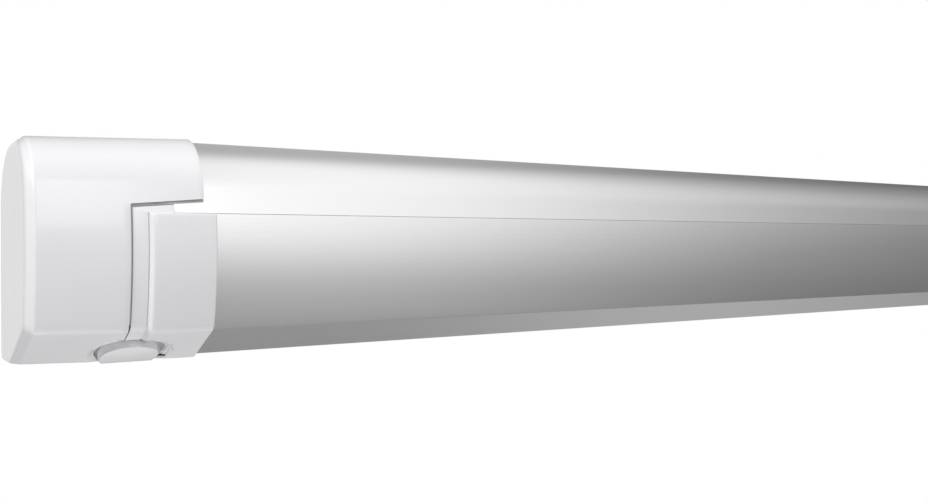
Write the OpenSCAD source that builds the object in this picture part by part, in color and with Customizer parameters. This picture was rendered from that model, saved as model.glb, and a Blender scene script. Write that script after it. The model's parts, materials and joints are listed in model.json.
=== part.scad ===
// Roll out awning for a camper wall: a closed case with a fabric roller, two folding arms,
// a lead rail that closes the front, two folding legs and a crank drive in the left end.
// X runs along the case, Y = 0 is the wall and the front is towards -Y, Z is up from mid height.

/* [Overall] */
// Length over both end caps
awning_len = 1900; // [1720:20:4000]
// Height of the case profile
case_h = 132; // [131:0.5:137]
// Depth from the wall to the foremost line of the case
case_d = 95; // [94:0.5:99]
// Space behind the case for the wall brackets
case_gap = 14; // [13:0.5:15]
// Wall thickness of the case and lead rail
wall_t = 2.2; // [1.8:0.1:2.4]

/* [Front shape] */
// Radius of the upper front edge
top_r = 38; // [36:0.5:42]
// Radius of the bulging front
bulge_r = 170; // [150:5:220]
// Height of the foremost line above the bottom
bulge_h = 68; // [64:1:72]
// Height of the seam between case and lead rail above the bottom
seam_h = 88.5; // [86:0.5:92]
// Height of the crease above the bottom
crease_h = 20.5; // [19:0.5:22]
// Slope of the underside in degrees
bevel_a = 27; // [26:0.5:30]
// Gap along the seam
seam_gap = 1.2; // [0.8:0.1:2]

/* [End caps] */
// Length of an end cap
cap_len = 97; // [92:1:110]
// How far the caps stand proud of the profile
cap_proud = 2; // [1.6:0.1:2.6]
// Wall thickness of the caps
cap_t = 3; // [2.6:0.1:3.4]
// Inward draft of a cap from its open edge to its outer end
cap_taper = 3.5; // [2:0.5:5]
// Width of the bevel around the outer end
cap_bevel = 7.4; // [5:0.2:9]
// Radius of the rear corners of the outer end
cap_rear_r = 38; // [30:1:42]
// Height of the shadow gap below the hood
hood_gap = 3; // [2:0.5:4]
// Rise of the hood edge towards the middle
hood_rise = 3.5; // [1:0.5:5]

/* [Roller] */
// Radius of the roller tube
roller_r = 25; // [20:0.5:26]
// Build-up of the wound fabric
roll_t = 5; // [3:0.5:7]
// Thickness of the fabric
fabric_t = 0.6; // [0.5:0.1:0.8]
// Radius of the roller and crank shafts
shaft_r = 6; // [5:0.5:6.5]

/* [Crank] */
// Radius of the crank hub
hub_r = 17; // [15:0.5:17.5]
// Gap around the crank hub
hub_gap = 3.3; // [2.5:0.1:3.5]
// Radius of the socket for the crank rod
socket_r = 8; // [6:0.5:9]
// Depth of the crank socket
socket_d = 9; // [6:0.5:9.5]

/* [Arms] */
// Length of an arm link between its pivots
arm_len = 720; // [500:10:800]
// Width of an arm tube
arm_w = 20; // [18:0.5:20]
// Height of an arm tube
arm_h = 26; // [24.5:0.5:27]
// Wall of an arm tube
arm_t = 2; // [1.5:0.1:2.5]
// Downward slope of the awning in degrees
arm_slope = 7; // [5:0.5:7.5]
// Radius of the pivot pins
pin_r = 5; // [4:0.5:5.5]

/* [Legs] */
// Length of a folded leg from hinge to foot
leg_len = 740; // [600:10:830]
// Width of the outer leg tube
leg_w = 19; // [18:0.5:20]
// Height of the outer leg tube
leg_h = 15; // [14:0.5:15.5]
// Wall of the leg tubes
leg_t = 1.5; // [1.2:0.1:1.6]

/* [Wall brackets] */
// Length of a wall bracket
bracket_len = 100; // [90:5:160]
// Distance of the outer brackets from the middle
bracket_x = 600; // [450:10:620]
// Distance between bolt holes along the wall
bolt_dx = 60; // [50:5:70]
// Distance between bolt holes up the wall
bolt_dz = 44; // [36:2:50]
// Radius of the bolt holes
bolt_r = 4.25; // [3:0.25:5]

/* [Hidden] */
$fn = 64;
eps = 0.01;
far = 400;
// Running fit on shafts and pins, loose fit between nested pieces, seat gap between touching faces
run_fit = 0.05;
loose = 0.3;
seat = 0.2;
half = awning_len / 2;

// Section of the closed case
case_top = case_h / 2;
case_bot = -case_h / 2;
back_y = -case_gap;
in_back = back_y - wall_t;
seam_z = case_bot + seam_h;
crease_z = case_bot + crease_h;
bulge = [bulge_r - case_d, case_bot + bulge_h];
roll_z = case_top - top_r;
roll_y = bulge[0] - sqrt(pow(bulge_r - top_r, 2) - pow(roll_z - bulge[1], 2));
join_a = atan2(roll_z - bulge[1], roll_y - bulge[0]);
crease_y = bulge[0] - sqrt(pow(bulge_r, 2) - pow(crease_z - bulge[1], 2));
roll_r = roller_r + roll_t;

// Lengthwise stations, counted from the middle
hood_lap = 17;
rail_short = 6.8;
rail_cap_lap = 7.2;
roller_short = 20;
hem_short = 20;
front_len = 56;
hub_in = 59.3;
hood_x = half - cap_len;
case_x = hood_x + hood_lap;
rail_x = case_x - rail_short;
rail_cap_x = hood_x - rail_cap_lap;
roller_x = case_x - roller_short;
fabric_x = roller_x - hem_short;
seam_x = half - front_len;
hub_x = half - hub_in;
plate_t = 5;
plate_x = case_x + seat + plate_t;

// Leg channel under the lead rail, with each folded leg centred in its half of the rail
leg_top_gap = 3.1;
leg_low_gap = 2.2;
leg_side_gap = 2;
lip_len = 3;
rail_gap = 1.5;
chan_back = in_back - lip_len - rail_gap;
chan_in_back = chan_back - wall_t;
chan_in_front = chan_in_back - leg_w - 2 * leg_side_gap;
chan_front = chan_in_front - wall_t;
chan_top = case_bot + leg_low_gap + leg_h + leg_top_gap;
web_top = chan_top + wall_t;
leg_x = (rail_x + leg_len) / 2;
leg_y = (chan_in_back + chan_in_front) / 2;
leg_z = case_bot + leg_low_gap + leg_h / 2;

// Arm geometry in its own sloping plane, with each folded arm centred in its half of the case
boss_r = 2 * pin_r;
pivot_in = 2.5;
tube_gap = 3;
fold_d = 2 * (arm_w - pivot_in) + tube_gap;
base_t = 5;
boss_gap = 1.6;
shoulder_y = in_back - seat - base_t - boss_gap - boss_r;
arm_clear = 1.5;
fold_edge = fold_d / 2 + tube_gap / 2 + arm_w;
shoulder_z = web_top + arm_clear + arm_h / 2 * cos(arm_slope) + fold_edge * sin(arm_slope);
wrist_y = shoulder_y - fold_d * cos(arm_slope);
wrist_z = shoulder_z - fold_d * sin(arm_slope);
arm_x = sqrt(arm_len * arm_len - fold_d * fold_d / 4);
shoulder_x = (case_x + arm_x) / 2;
tongue_h = 12;
fork_gap = 0.4;
fork_in = tongue_h / 2 + fork_gap;
fork_sink = 1.6;
fork_out = arm_h / 2 - fork_sink;
block_off = 16;
block_x = boss_r + block_off;
block_len = 10;
spigot_len = 30;

// Drive in the left end
apex_x = -hub_x;
wheel_r = 18;
pinion_r = 9;
wheel_teeth = 24;
pinion_teeth = 12;
tooth_out = 1.2;
tooth_in = 1.6;
drum_room = 8;
drum_r = wheel_r + drum_room;
drum_t = 3;
hub_h = 18;
hub_top = case_bot + hub_h;
flange_z = hub_top + 1;

// Helpers

// Extrudes a Y-Z section from one X to another.
module along_x(x0, x1) {
  translate([x0, 0, 0]) rotate([90, 0, 90]) linear_extrude(x1 - x0) children();
}

module rod_x(x0, x1, r) {
  translate([x0, 0, 0]) rotate([0, 90, 0]) cylinder(r = r, h = x1 - x0);
}

module rod_y(y0, y1, r) {
  translate([0, y1, 0]) rotate([90, 0, 0]) cylinder(r = r, h = y1 - y0);
}

module block(low, high) {
  translate(low) cube(high - low);
}

module right_side() {
  mirror([1, 0, 0]) children();
}

module both_sides() {
  children();
  right_side() children();
}

// Points on an arc about c from angle a0 to a1.
function ray(r, a) = r * [cos(a), sin(a)];
function arc(c, r, a0, a1, n) = [for (k = [0:n]) c + ray(r, a0 + (a1 - a0) * k / n)];

// Outline of the closed case, inset by i, with a back line at y and rounded rear corners.
function bevel_n() = [sin(bevel_a), cos(bevel_a)];
function crease_a(i) =
  180 - bevel_a - asin((i - bevel_n() * (bulge - [crease_y, crease_z])) / (bulge_r - i));
function bevel_y(i) = crease_y + (i - cos(bevel_a) * (case_bot + i - crease_z)) / sin(bevel_a);
function outline(i, y, rear = 0.5, n = 12) = concat(
  arc([y - rear, case_top - i - rear], rear, 0, 90, n / 2),
  arc([roll_y, roll_z], top_r - i, 90, join_a, n),
  arc(bulge, bulge_r - i, join_a + (crease_a(i) - join_a) / n, crease_a(i), n - 1),
  [[bevel_y(i), case_bot + i]],
  arc([y - rear, case_bot + i + rear], rear, 270, 360, n / 2)
);

module section(i, y = back_y, rear = 0.5, n = 12) {
  polygon(outline(i, y, rear, n));
}

module yz_box(y0, y1, z0, z1) {
  translate([y0, z0]) square([y1 - y0, z1 - z0]);
}

// A tube outline with cut corners, w along the first axis and h along the second.
module tube_2d(w, h, cut) {
  polygon([
    [w / 2 - cut, h / 2], [cut - w / 2, h / 2], [-w / 2, h / 2 - cut], [-w / 2, cut - h / 2],
    [cut - w / 2, -h / 2], [w / 2 - cut, -h / 2], [w / 2, cut - h / 2], [w / 2, h / 2 - cut]
  ]);
}

// Fixed case

hook_drop = 10;
hook_leg = 8;
hook_z = case_top - hook_drop;
hook_y = back_y + hook_leg;
low_rib_rise = 20;
low_rib_z = case_bot + low_rib_rise;
rib_h = 2.2;
base_up = 16;
base_down = 14;
base_half = 24;
slot_top = shoulder_z + base_up;
slot_low = shoulder_z - base_down;
slot_lip = 2;
slot_y = in_back - base_t - 2 * seat;

// Share of a bracket's length from its middle to a locking screw
screw_share = 0.3;
module bracket_screw_places() {
  for (x = [-bracket_x, 0, bracket_x], s = [-1, 1])
    translate([x + s * bracket_len * screw_share, back_y / 2, low_rib_z]) children();
}

module housing_section() {
  difference() {
    section(0);
    section(wall_t, in_back);
    yz_box(-far, in_back - lip_len, -far, 0);
    yz_box(-far, roll_y, -far, seam_z + seam_gap / 2);
  }
  // Hook over the wall brackets and the rib that their screws hold
  yz_box(back_y - eps, hook_y, hook_z, hook_z + rib_h);
  yz_box(hook_y - rib_h, hook_y, hook_z - hook_leg, hook_z + rib_h);
  yz_box(back_y - eps, back_y / 3, low_rib_z, low_rib_z + rib_h);
  // Slot for the shoulder brackets
  yz_box(slot_y - slot_lip, in_back + eps, slot_top + seat, slot_top + seat + rib_h);
  yz_box(slot_y - slot_lip, slot_y, slot_top - slot_lip, slot_top + seat + rib_h);
  yz_box(slot_y - slot_lip, in_back + eps, slot_low - seat - rib_h, slot_low - seat);
  yz_box(slot_y - slot_lip, slot_y, slot_low - seat - rib_h, slot_low + slot_lip);
}

module housing() {
  color("#c9cbcd") difference() {
    along_x(-case_x, case_x) housing_section();
    bracket_screw_places() translate([0, 0, -1]) cylinder(r = screw_r + seat, h = rib_h + 2);
  }
}

seal_h = 5.5;
seal_wall = 1.2;
seal_gap = 1;
module wall_seal() {
  seal_x = hood_x - seal_gap;
  seal_z = hook_z + rib_h + seal_gap;
  color("#2a2b2d") along_x(-seal_x, seal_x) difference() {
    yz_box(back_y + seat, -seat, seal_z, seal_z + seal_h);
    yz_box(back_y + 2 * seal_wall, -2 * seal_wall, seal_z + seal_wall, seal_z + seal_h - seal_wall);
  }
}

front_seal_r = 1.8;
front_seal_z = seam_z + seam_gap / 2 + front_seal_r + 2 * seat;
front_seal_d = wall_t + run_fit + front_seal_r;
front_seal_y = bulge[0] - sqrt(pow(bulge_r - front_seal_d, 2) - pow(front_seal_z - bulge[1], 2));
module front_seal() {
  color("#2a2b2d") translate([0, front_seal_y, front_seal_z]) rod_x(-case_x, case_x, front_seal_r);
}

screw_r = 3;
head_over = 2;
plate_y = 4;
arm_rise = 3;
lip_gap = 2;
module wall_bracket() {
  lip_y = back_y + lip_gap;
  ledge_z = hook_z - hook_leg - lip_gap;
  foot_z = low_rib_z - loose;
  difference() {
    along_x(-bracket_len / 2, bracket_len / 2) {
      yz_box(-plate_y, 0, foot_z - arm_rise, ledge_z);
      yz_box(lip_y, 0, ledge_z - arm_rise, ledge_z);
      yz_box(lip_y, lip_y + arm_rise - seat, ledge_z - arm_rise, hook_z - loose);
      yz_box(back_y + loose, 0, foot_z - arm_rise, foot_z);
    }
    for (x = [-1, 1], z = [-1, 1])
      translate([x * bolt_dx / 2, 0, z * bolt_dz / 2]) rod_y(-plate_y - 1, 1, bolt_r);
    for (s = [-1, 1])
      translate([s * bracket_len * screw_share, back_y / 2, foot_z - arm_rise - 1])
        cylinder(r = screw_r + run_fit, h = arm_rise + 2);
  }
}

module wall_brackets() {
  color("#8f9396") for (x = [-bracket_x, 0, bracket_x]) translate([x, 0, 0]) wall_bracket();
}

module bracket_screws() {
  head_z = -loose - arm_rise - run_fit;
  head_h = 4;
  hex_h = 2.5;
  hex_r = screw_r * 0.7;
  color("#6d7073") bracket_screw_places() difference() {
    union() {
      translate([0, 0, head_z]) cylinder(r = screw_r, h = rib_h + head_h - head_z);
      translate([0, 0, head_z - head_h]) cylinder(r = screw_r + head_over, h = head_h);
    }
    translate([0, 0, head_z - head_h - 1]) cylinder(r = hex_r, h = hex_h + 1, $fn = 6);
  }
}

// Screws that hold an end cap's posts to its end plate
post_in = 26;
post_drop = 18;
post_rise = 36;
post_places = [[-post_in, case_top - post_drop], [-post_in, case_bot + post_rise]];
post_r = 4.5;
cap_screw_r = 2;
cap_screw_len = 14;
module at_posts() {
  for (p = post_places) translate([0, p[0], p[1]]) children();
}

plate_over = 4.5;
plate_rise = 26;
plate_front = roll_y - roller_r - plate_over;
shaft_room = 2;
module end_plates() {
  color("#a7abae") both_sides() difference() {
    along_x(-plate_x, -case_x - seat) intersection() {
      section(wall_t + head_over, in_back);
      yz_box(plate_front, 0, case_bot + plate_rise, far);
    }
    translate([-plate_x - 1, roll_y, roll_z]) rod_x(0, plate_t + 2, shaft_r + shaft_room);
    at_posts() rod_x(-plate_x - 1, -case_x, cap_screw_r + seat);
  }
}

module cap_screws() {
  color("#6d7073") both_sides() at_posts() {
    rod_x(-plate_x - cap_screw_len, -case_x - seat + run_fit, cap_screw_r);
    rod_x(-case_x - seat + run_fit, -case_x + head_over, cap_screw_r + head_over);
  }
}

// End caps

cap_back = -4;
bevel_in = 5;
rear_step = 4;
cap_open_r = 2;

module cap_slice(x, i, y, rear) {
  along_x(x, x + eps) section(i, y, rear, 10);
}

module cap_hull(t, x_end) {
  hull() {
    cap_slice(-x_end, t - cap_proud, cap_back, cap_open_r);
    cap_slice(-half + cap_bevel + t / 2, t - cap_proud + cap_taper, cap_back, cap_rear_r - rear_step);
    cap_slice(-half + t, t - cap_proud + cap_taper + bevel_in, cap_back, cap_rear_r);
  }
}

hood_z = seam_z + hood_gap;
hood_over = 5;
module hood_cut() {
  end_rise = hood_rise * (1 + hood_over / (seam_x - hood_x));
  rotate([90, 0, 0]) linear_extrude(far) polygon([
    [-seam_x, -far], [-hood_x + hood_over, -far],
    [-hood_x + hood_over, hood_z + end_rise], [-seam_x, hood_z]
  ]);
}

open_len = 30;
roof_left = 3;
back_gap = 0.8;
module end_cap_body() {
  difference() {
    cap_hull(0, hood_x);
    difference() {
      cap_hull(cap_t, hood_x - 1);
      at_posts() rod_x(-half - 1, -plate_x - seat, post_r);
    }
    // Open back and room for the end of the case
    along_x(-seam_x - open_len, -hood_x + 1) yz_box(in_back, far, -far, case_top - cap_t - roof_left);
    along_x(-case_x - loose, -hood_x + 1) section(-seat, back_y + loose);
    translate([0, chan_back + back_gap, 0]) hood_cut();
    translate([-hub_x, roll_y, -far + hub_top]) cylinder(r = hub_r + hub_gap, h = far);
    at_posts() rod_x(-plate_x - cap_screw_len - 2, -plate_x, cap_screw_r + run_fit);
  }
}

module end_cap_left() {
  color("#f4f4f4") end_cap_body();
}

module end_cap_right() {
  color("#f4f4f4") right_side() end_cap_body();
}

// Arm brackets in the case

// Two plates of a fork, with their root on the +Y side for sign 1 and the -Y side for sign -1.
fork_over = 0.5;
fork_root = 2;
module fork_plates(sign) {
  plate_r = boss_r + fork_over;
  reach = boss_r + boss_gap + fork_root;
  for (s = [0, 1]) mirror([0, 0, s]) translate([0, 0, fork_in]) linear_extrude(fork_out - fork_in) {
    circle(plate_r);
    translate([-plate_r, sign > 0 ? 0 : -reach]) square([2 * plate_r, reach]);
  }
}

module arm_place() {
  translate([-shoulder_x, shoulder_y, shoulder_z]) rotate([arm_slope, 0, 0]) children();
}

module pivot_bore() {
  translate([0, 0, -far / 2]) cylinder(r = pin_r + run_fit, h = far);
}

pin_head = 1.4;
pin_over = 2.5;
module pivot_pin() {
  pin_end = fork_out + run_fit;
  translate([0, 0, -pin_end]) cylinder(r = pin_r, h = 2 * pin_end);
  for (s = [0, 1]) mirror([0, 0, s]) translate([0, 0, pin_end]) cylinder(r = pin_r + pin_over, h = pin_head);
}

module shoulder_brackets() {
  color("#9a9ea1") both_sides() difference() {
    union() {
      arm_place() fork_plates(1);
      block([-shoulder_x - base_half, in_back - seat - base_t, slot_low],
        [-shoulder_x + base_half, in_back - seat, slot_top]);
    }
    arm_place() pivot_bore();
    block([-shoulder_x - 2 * base_half, in_back - seat, -far], [-shoulder_x + 2 * base_half, far, far]);
  }
}

module shoulder_pins() {
  color("#d6d8da") both_sides() arm_place() pivot_pin();
}

// Drive

module drive_place() {
  translate([apex_x, roll_y, roll_z]) children();
}

case_face = -plate_x - seat;
drum_back = drum_t + 2;
drum_flange = 3;
neck_t = 5;
module drive_case() {
  difference() {
    union() {
      translate([0, roll_y, roll_z]) {
        rod_x(apex_x - drum_r, case_face, drum_r);
        rod_x(case_face - drum_t, case_face, drum_r + drum_flange);
      }
      translate([apex_x, roll_y, flange_z]) cylinder(r = shaft_r + neck_t, h = roll_z - flange_z - wheel_r);
      translate([apex_x, roll_y, flange_z]) cylinder(r = hub_r + shaft_room, h = drum_t);
    }
    translate([0, roll_y, roll_z]) {
      rod_x(apex_x - drum_r - 1, case_face - drum_back, drum_r - drum_t);
      rod_x(case_face - drum_back - 1, case_face + 1, shaft_r + run_fit);
    }
    translate([apex_x, roll_y, flange_z - 1]) cylinder(r = shaft_r + run_fit, h = roll_z - flange_z + 1);
  }
}

module gear_case() {
  color("#55585b") drive_case();
}

module idler_case() {
  color("#55585b") right_side() drive_case();
}

module gear_cover() {
  color("#3e4144") both_sides() translate([apex_x - drum_r, roll_y, roll_z]) {
    rod_x(-drum_t - run_fit, -run_fit, drum_r);
    rod_x(-drum_t, drum_t, drum_r - drum_t - seat);
  }
}

// Gear outline with thin straight teeth: r is the pitch radius, a and d reach out and in from it.
// The shares of a pitch give half the width of a tooth at its root and at its tip.
root_share = 0.288;
tip_share = 0.127;
tooth_steps = [-root_share, -tip_share, tip_share, root_share];
module gear_2d(r, a, d, teeth, turn) {
  pitch = 360 / teeth;
  rotate(turn) polygon([for (k = [0:teeth - 1], q = [0:3])
    ray(q == 1 || q == 2 ? r + a : r - d, pitch * (k + tooth_steps[q]))]);
}

module drive_gear() {
  slant = atan2(wheel_r, pinion_r);
  reach = 3;
  color("#b7a06a") drive_place() difference() {
    union() {
      translate([pinion_r, 0, 0]) rotate([0, -90, 0])
        linear_extrude(reach, scale = (pinion_r - reach) / pinion_r)
          gear_2d(wheel_r, tooth_out / cos(slant), tooth_in / cos(slant), wheel_teeth, 180 / wheel_teeth);
      rod_x(pinion_r - eps, case_face - apex_x - drum_back - loose, wheel_r - neck_t);
    }
    rod_x(0, far, shaft_r + run_fit);
  }
}

module pinion_shaft() {
  slant = atan2(pinion_r, wheel_r);
  reach = 6;
  color("#8d9093") drive_place() {
    translate([0, 0, -wheel_r]) linear_extrude(reach, scale = (wheel_r - reach) / wheel_r)
      gear_2d(pinion_r, tooth_out / cos(slant), tooth_in / cos(slant), pinion_teeth, 0);
    translate([0, 0, hub_top - roll_z - hub_grip])
      cylinder(r = shaft_r, h = roll_z - hub_top + hub_grip - wheel_r + eps);
  }
}

hub_grip = 8;
hub_cut = 1.5;
slot_end = 3.5;
slot_w = 4;
module hub_body() {
  translate([apex_x, roll_y, case_bot]) {
    cylinder(r = hub_r, h = hub_h - hub_cut);
    translate([0, 0, hub_h - hub_cut]) cylinder(r1 = hub_r, r2 = hub_r - hub_cut, h = hub_cut);
  }
}

module crank_hub() {
  color("#f0f0f0") difference() {
    hub_body();
    translate([apex_x, roll_y, hub_top - hub_grip - run_fit])
      cylinder(r = shaft_r + run_fit, h = hub_grip + 1);
    // Socket with a cross slot for the crank rod
    translate([apex_x, roll_y, case_bot - 1]) cylinder(r = socket_r, h = socket_d + 1);
    block([apex_x - hub_r + slot_end, roll_y - slot_w / 2, case_bot - 1],
      [apex_x + hub_r - slot_end, roll_y + slot_w / 2, case_bot + socket_d - 2]);
  }
}

plug_stem = 20;
module blank_plug() {
  color("#f0f0f0") right_side() {
    hub_body();
    translate([apex_x, roll_y, hub_top - eps]) cylinder(r = shaft_r, h = plug_stem);
  }
}

// Roller and fabric

roller_wall = 1.5;
rim_t = 3;
rim_low = 0.5;
plug_len = 30;
shaft_end = 3;
module roller_tube() {
  color("#c4c7c9") translate([0, roll_y, roll_z]) difference() {
    rod_x(-roller_x, roller_x, roller_r);
    rod_x(-roller_x - 1, roller_x + 1, roller_r - roller_wall);
  }
}

module roller_plug() {
  translate([0, roll_y, roll_z]) {
    rod_x(-roller_x - rim_t, -roller_x - run_fit, roller_r - rim_low);
    rod_x(-roller_x - 1, -roller_x + plug_len, roller_r - roller_wall - run_fit);
    rod_x(apex_x + pinion_r - shaft_end, -roller_x, shaft_r);
  }
}

module roller_plug_left() {
  color("#3a3c3f") roller_plug();
}

module roller_plug_right() {
  color("#3a3c3f") right_side() roller_plug();
}

module fabric_roll() {
  color("#5d6a78") translate([0, roll_y, roll_z]) difference() {
    rod_x(-fabric_x, fabric_x, roll_r);
    rod_x(-fabric_x - 1, fabric_x + 1, roller_r + run_fit);
  }
}

// Groove along the lead rail that holds the bead of the fabric
bead_r = 3;
bead_fit = 0.4;
groove_r = bead_r + bead_fit;
groove_wall = 1.6;
groove_out = groove_r + groove_wall;
// The groove sits in the front wall, below its top edge and clear of the full roll
groove_clear = 0.9;
groove_arc = bulge_r - wall_t - groove_out + bead_fit;
groove_d = roll_r + groove_out + groove_clear;
axis_d = bulge_r - top_r;
groove_cos = (pow(groove_d, 2) + pow(axis_d, 2) - pow(groove_arc, 2)) / (2 * groove_d * axis_d);
roll_bead = [roll_y, roll_z] + ray(groove_d, join_a + 180 - acos(groove_cos));
seam_bead_z = seam_z - seam_gap / 2 - groove_out - bead_fit;
seam_bead_y = bulge[0] - sqrt(pow(groove_arc, 2) - pow(seam_bead_z - bulge[1], 2));
bead_y = roll_bead[1] < seam_bead_z ? roll_bead[0] : seam_bead_y;
bead_z = min(roll_bead[1], seam_bead_z);
bead_d = norm([bead_y - roll_y, bead_z - roll_z]);
wrap_r = roll_r + fabric_t / 2 + loose;
leave_a = atan2(bead_z - roll_z, bead_y - roll_y) + acos(wrap_r / bead_d);
leave = [roll_y + wrap_r * cos(leave_a), roll_z + wrap_r * sin(leave_a)];
span_a = atan2(leave[1] - bead_z, leave[0] - bead_y);
span = norm(leave - [bead_y, bead_z]);

module fabric() {
  color("#5d6a78") along_x(-fabric_x, fabric_x) translate([bead_y, bead_z]) {
    circle(bead_r);
    rotate(span_a) translate([0, -fabric_t / 2]) square([span, fabric_t]);
  }
}

// Arms

tube_y = -arm_w / 2 + pivot_in;
arm_cut = 3;
arm_in_cut = 2;
module arm_tube() {
  x0 = block_x + block_len + seat;
  x1 = arm_x - block_x - block_len - seat;
  translate([0, tube_y, 0]) along_x(x0, x1) difference() {
    tube_2d(arm_w, arm_h, arm_cut);
    tube_2d(arm_w - 2 * arm_t, arm_h - 2 * arm_t, arm_in_cut);
  }
}

module arm_block(x0, x1) {
  translate([0, tube_y, 0]) along_x(x0, x1) tube_2d(arm_w, arm_h, arm_cut);
}

module arm_spigot(x0, x1) {
  translate([0, tube_y, 0]) along_x(x0, x1)
    tube_2d(arm_w - 2 * arm_t - 2 * seat, arm_h - 2 * arm_t - 2 * seat, arm_in_cut + 2 * seat);
}

module arm_knuckle() {
  difference() {
    union() {
      translate([0, 0, -tongue_h / 2]) linear_extrude(tongue_h) {
        circle(boss_r);
        polygon([
          [0, boss_r - pivot_in], [block_x + 1, pivot_in],
          [block_x + 1, pivot_in - arm_w], [-1, fork_over - boss_r]
        ]);
      }
      arm_block(block_x, block_x + block_len);
      arm_spigot(block_x + block_len - eps, block_x + block_len + spigot_len);
    }
    pivot_bore();
  }
}

// Plan of an elbow casting seen from the elbow pivot, with its tube on the +Y side
module elbow_plan() {
  circle(boss_r);
  polygon([
    [-block_x - 1, tube_gap / 2], [-block_x - 1, tube_gap / 2 + arm_w],
    [1, boss_r - fork_over], [-1, fork_over - boss_r]
  ]);
}

module elbow_place() {
  translate([arm_x, -fold_d / 2, 0]) children();
}

module elbow_root() {
  arm_block(arm_x - block_x - block_len, arm_x - block_x);
  arm_spigot(arm_x - block_x - block_len - spigot_len, arm_x - block_x - block_len + eps);
}

module elbow_fork() {
  difference() {
    union() {
      elbow_root();
      elbow_place() for (s = [0, 1]) mirror([0, 0, s])
        translate([0, 0, fork_in]) linear_extrude(fork_out - fork_in) elbow_plan();
    }
    elbow_place() pivot_bore();
  }
}

module elbow_tongue() {
  difference() {
    union() {
      elbow_root();
      elbow_place() translate([0, 0, -tongue_h / 2]) linear_extrude(tongue_h) elbow_plan();
    }
    elbow_place() pivot_bore();
  }
}

spring_r = 7;
spring_rod_r = 2;
spring_end = 25;
coil_t = 1.5;
coil_pitch = 2;
coil_gap = 0.8;
end_coils = 3;
module arm_spring() {
  x0 = block_x + block_len + spigot_len + run_fit;
  x1 = arm_x - block_x - block_len - spigot_len - run_fit;
  coils = (end_coils + 1) * coil_pitch;
  translate([0, tube_y, 0]) {
    rod_x(x0, x1, spring_rod_r);
    difference() {
      rod_x(x0 + spring_end, x1 - spring_end, spring_r);
      for (x = [x0 + spring_end, x1 - spring_end - coils], k = [1:end_coils])
        translate([x + k * coil_pitch, 0, 0]) difference() {
          rod_x(0, coil_gap, spring_r + 1);
          rod_x(-1, coil_gap + 1, spring_r - coil_t);
        }
    }
  }
}

// The forearm is the mirror of the upper arm about the elbow line.
module folded() {
  translate([0, -fold_d, 0]) mirror([0, 1, 0]) children();
}

module upper_arm_left() {
  color("#e3e5e6") arm_place() arm_tube();
}

module shoulder_knuckle_left() {
  color("#9a9ea1") arm_place() arm_knuckle();
}

module elbow_fork_left() {
  color("#9a9ea1") arm_place() elbow_fork();
}

module elbow_pin_left() {
  color("#d6d8da") arm_place() elbow_place() pivot_pin();
}

module arm_spring_left() {
  color("#7c8083") arm_place() arm_spring();
}

module forearm_left() {
  color("#e3e5e6") arm_place() folded() arm_tube();
}

module elbow_tongue_left() {
  color("#9a9ea1") arm_place() folded() elbow_tongue();
}

module wrist_knuckle_left() {
  color("#9a9ea1") arm_place() folded() arm_knuckle();
}

module upper_arm_right() {
  color("#e3e5e6") right_side() arm_place() arm_tube();
}

module shoulder_knuckle_right() {
  color("#9a9ea1") right_side() arm_place() arm_knuckle();
}

module elbow_fork_right() {
  color("#9a9ea1") right_side() arm_place() elbow_fork();
}

module elbow_pin_right() {
  color("#d6d8da") right_side() arm_place() elbow_place() pivot_pin();
}

module arm_spring_right() {
  color("#7c8083") right_side() arm_place() arm_spring();
}

module forearm_right() {
  color("#e3e5e6") right_side() arm_place() folded() arm_tube();
}

module elbow_tongue_right() {
  color("#9a9ea1") right_side() arm_place() folded() elbow_tongue();
}

module wrist_knuckle_right() {
  color("#9a9ea1") right_side() arm_place() folded() arm_knuckle();
}

// Lead rail

mouth_w = 2.4;
module lead_rail() {
  color("#c9cbcd") along_x(-rail_x, rail_x) difference() {
    union() {
      // Front wall, sloping underside, web and leg channel
      intersection() {
        difference() {
          section(0);
          section(wall_t, in_back);
        }
        union() {
          yz_box(-far, roll_y - roll_r, 0, seam_z - seam_gap / 2);
          yz_box(-far, chan_in_front, -far, eps);
        }
      }
      intersection() {
        section(wall_t / 2);
        union() {
          yz_box(-far, chan_back, chan_top, web_top);
          yz_box(chan_front, chan_in_front, case_bot, web_top);
        }
      }
      yz_box(chan_in_back, chan_back, case_bot, web_top);
      translate([bead_y, bead_z]) circle(groove_out);
    }
    translate([bead_y, bead_z]) {
      circle(groove_r);
      rotate(span_a) translate([0, -mouth_w / 2]) square([2 * groove_out, mouth_w]);
    }
  }
}

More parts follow.
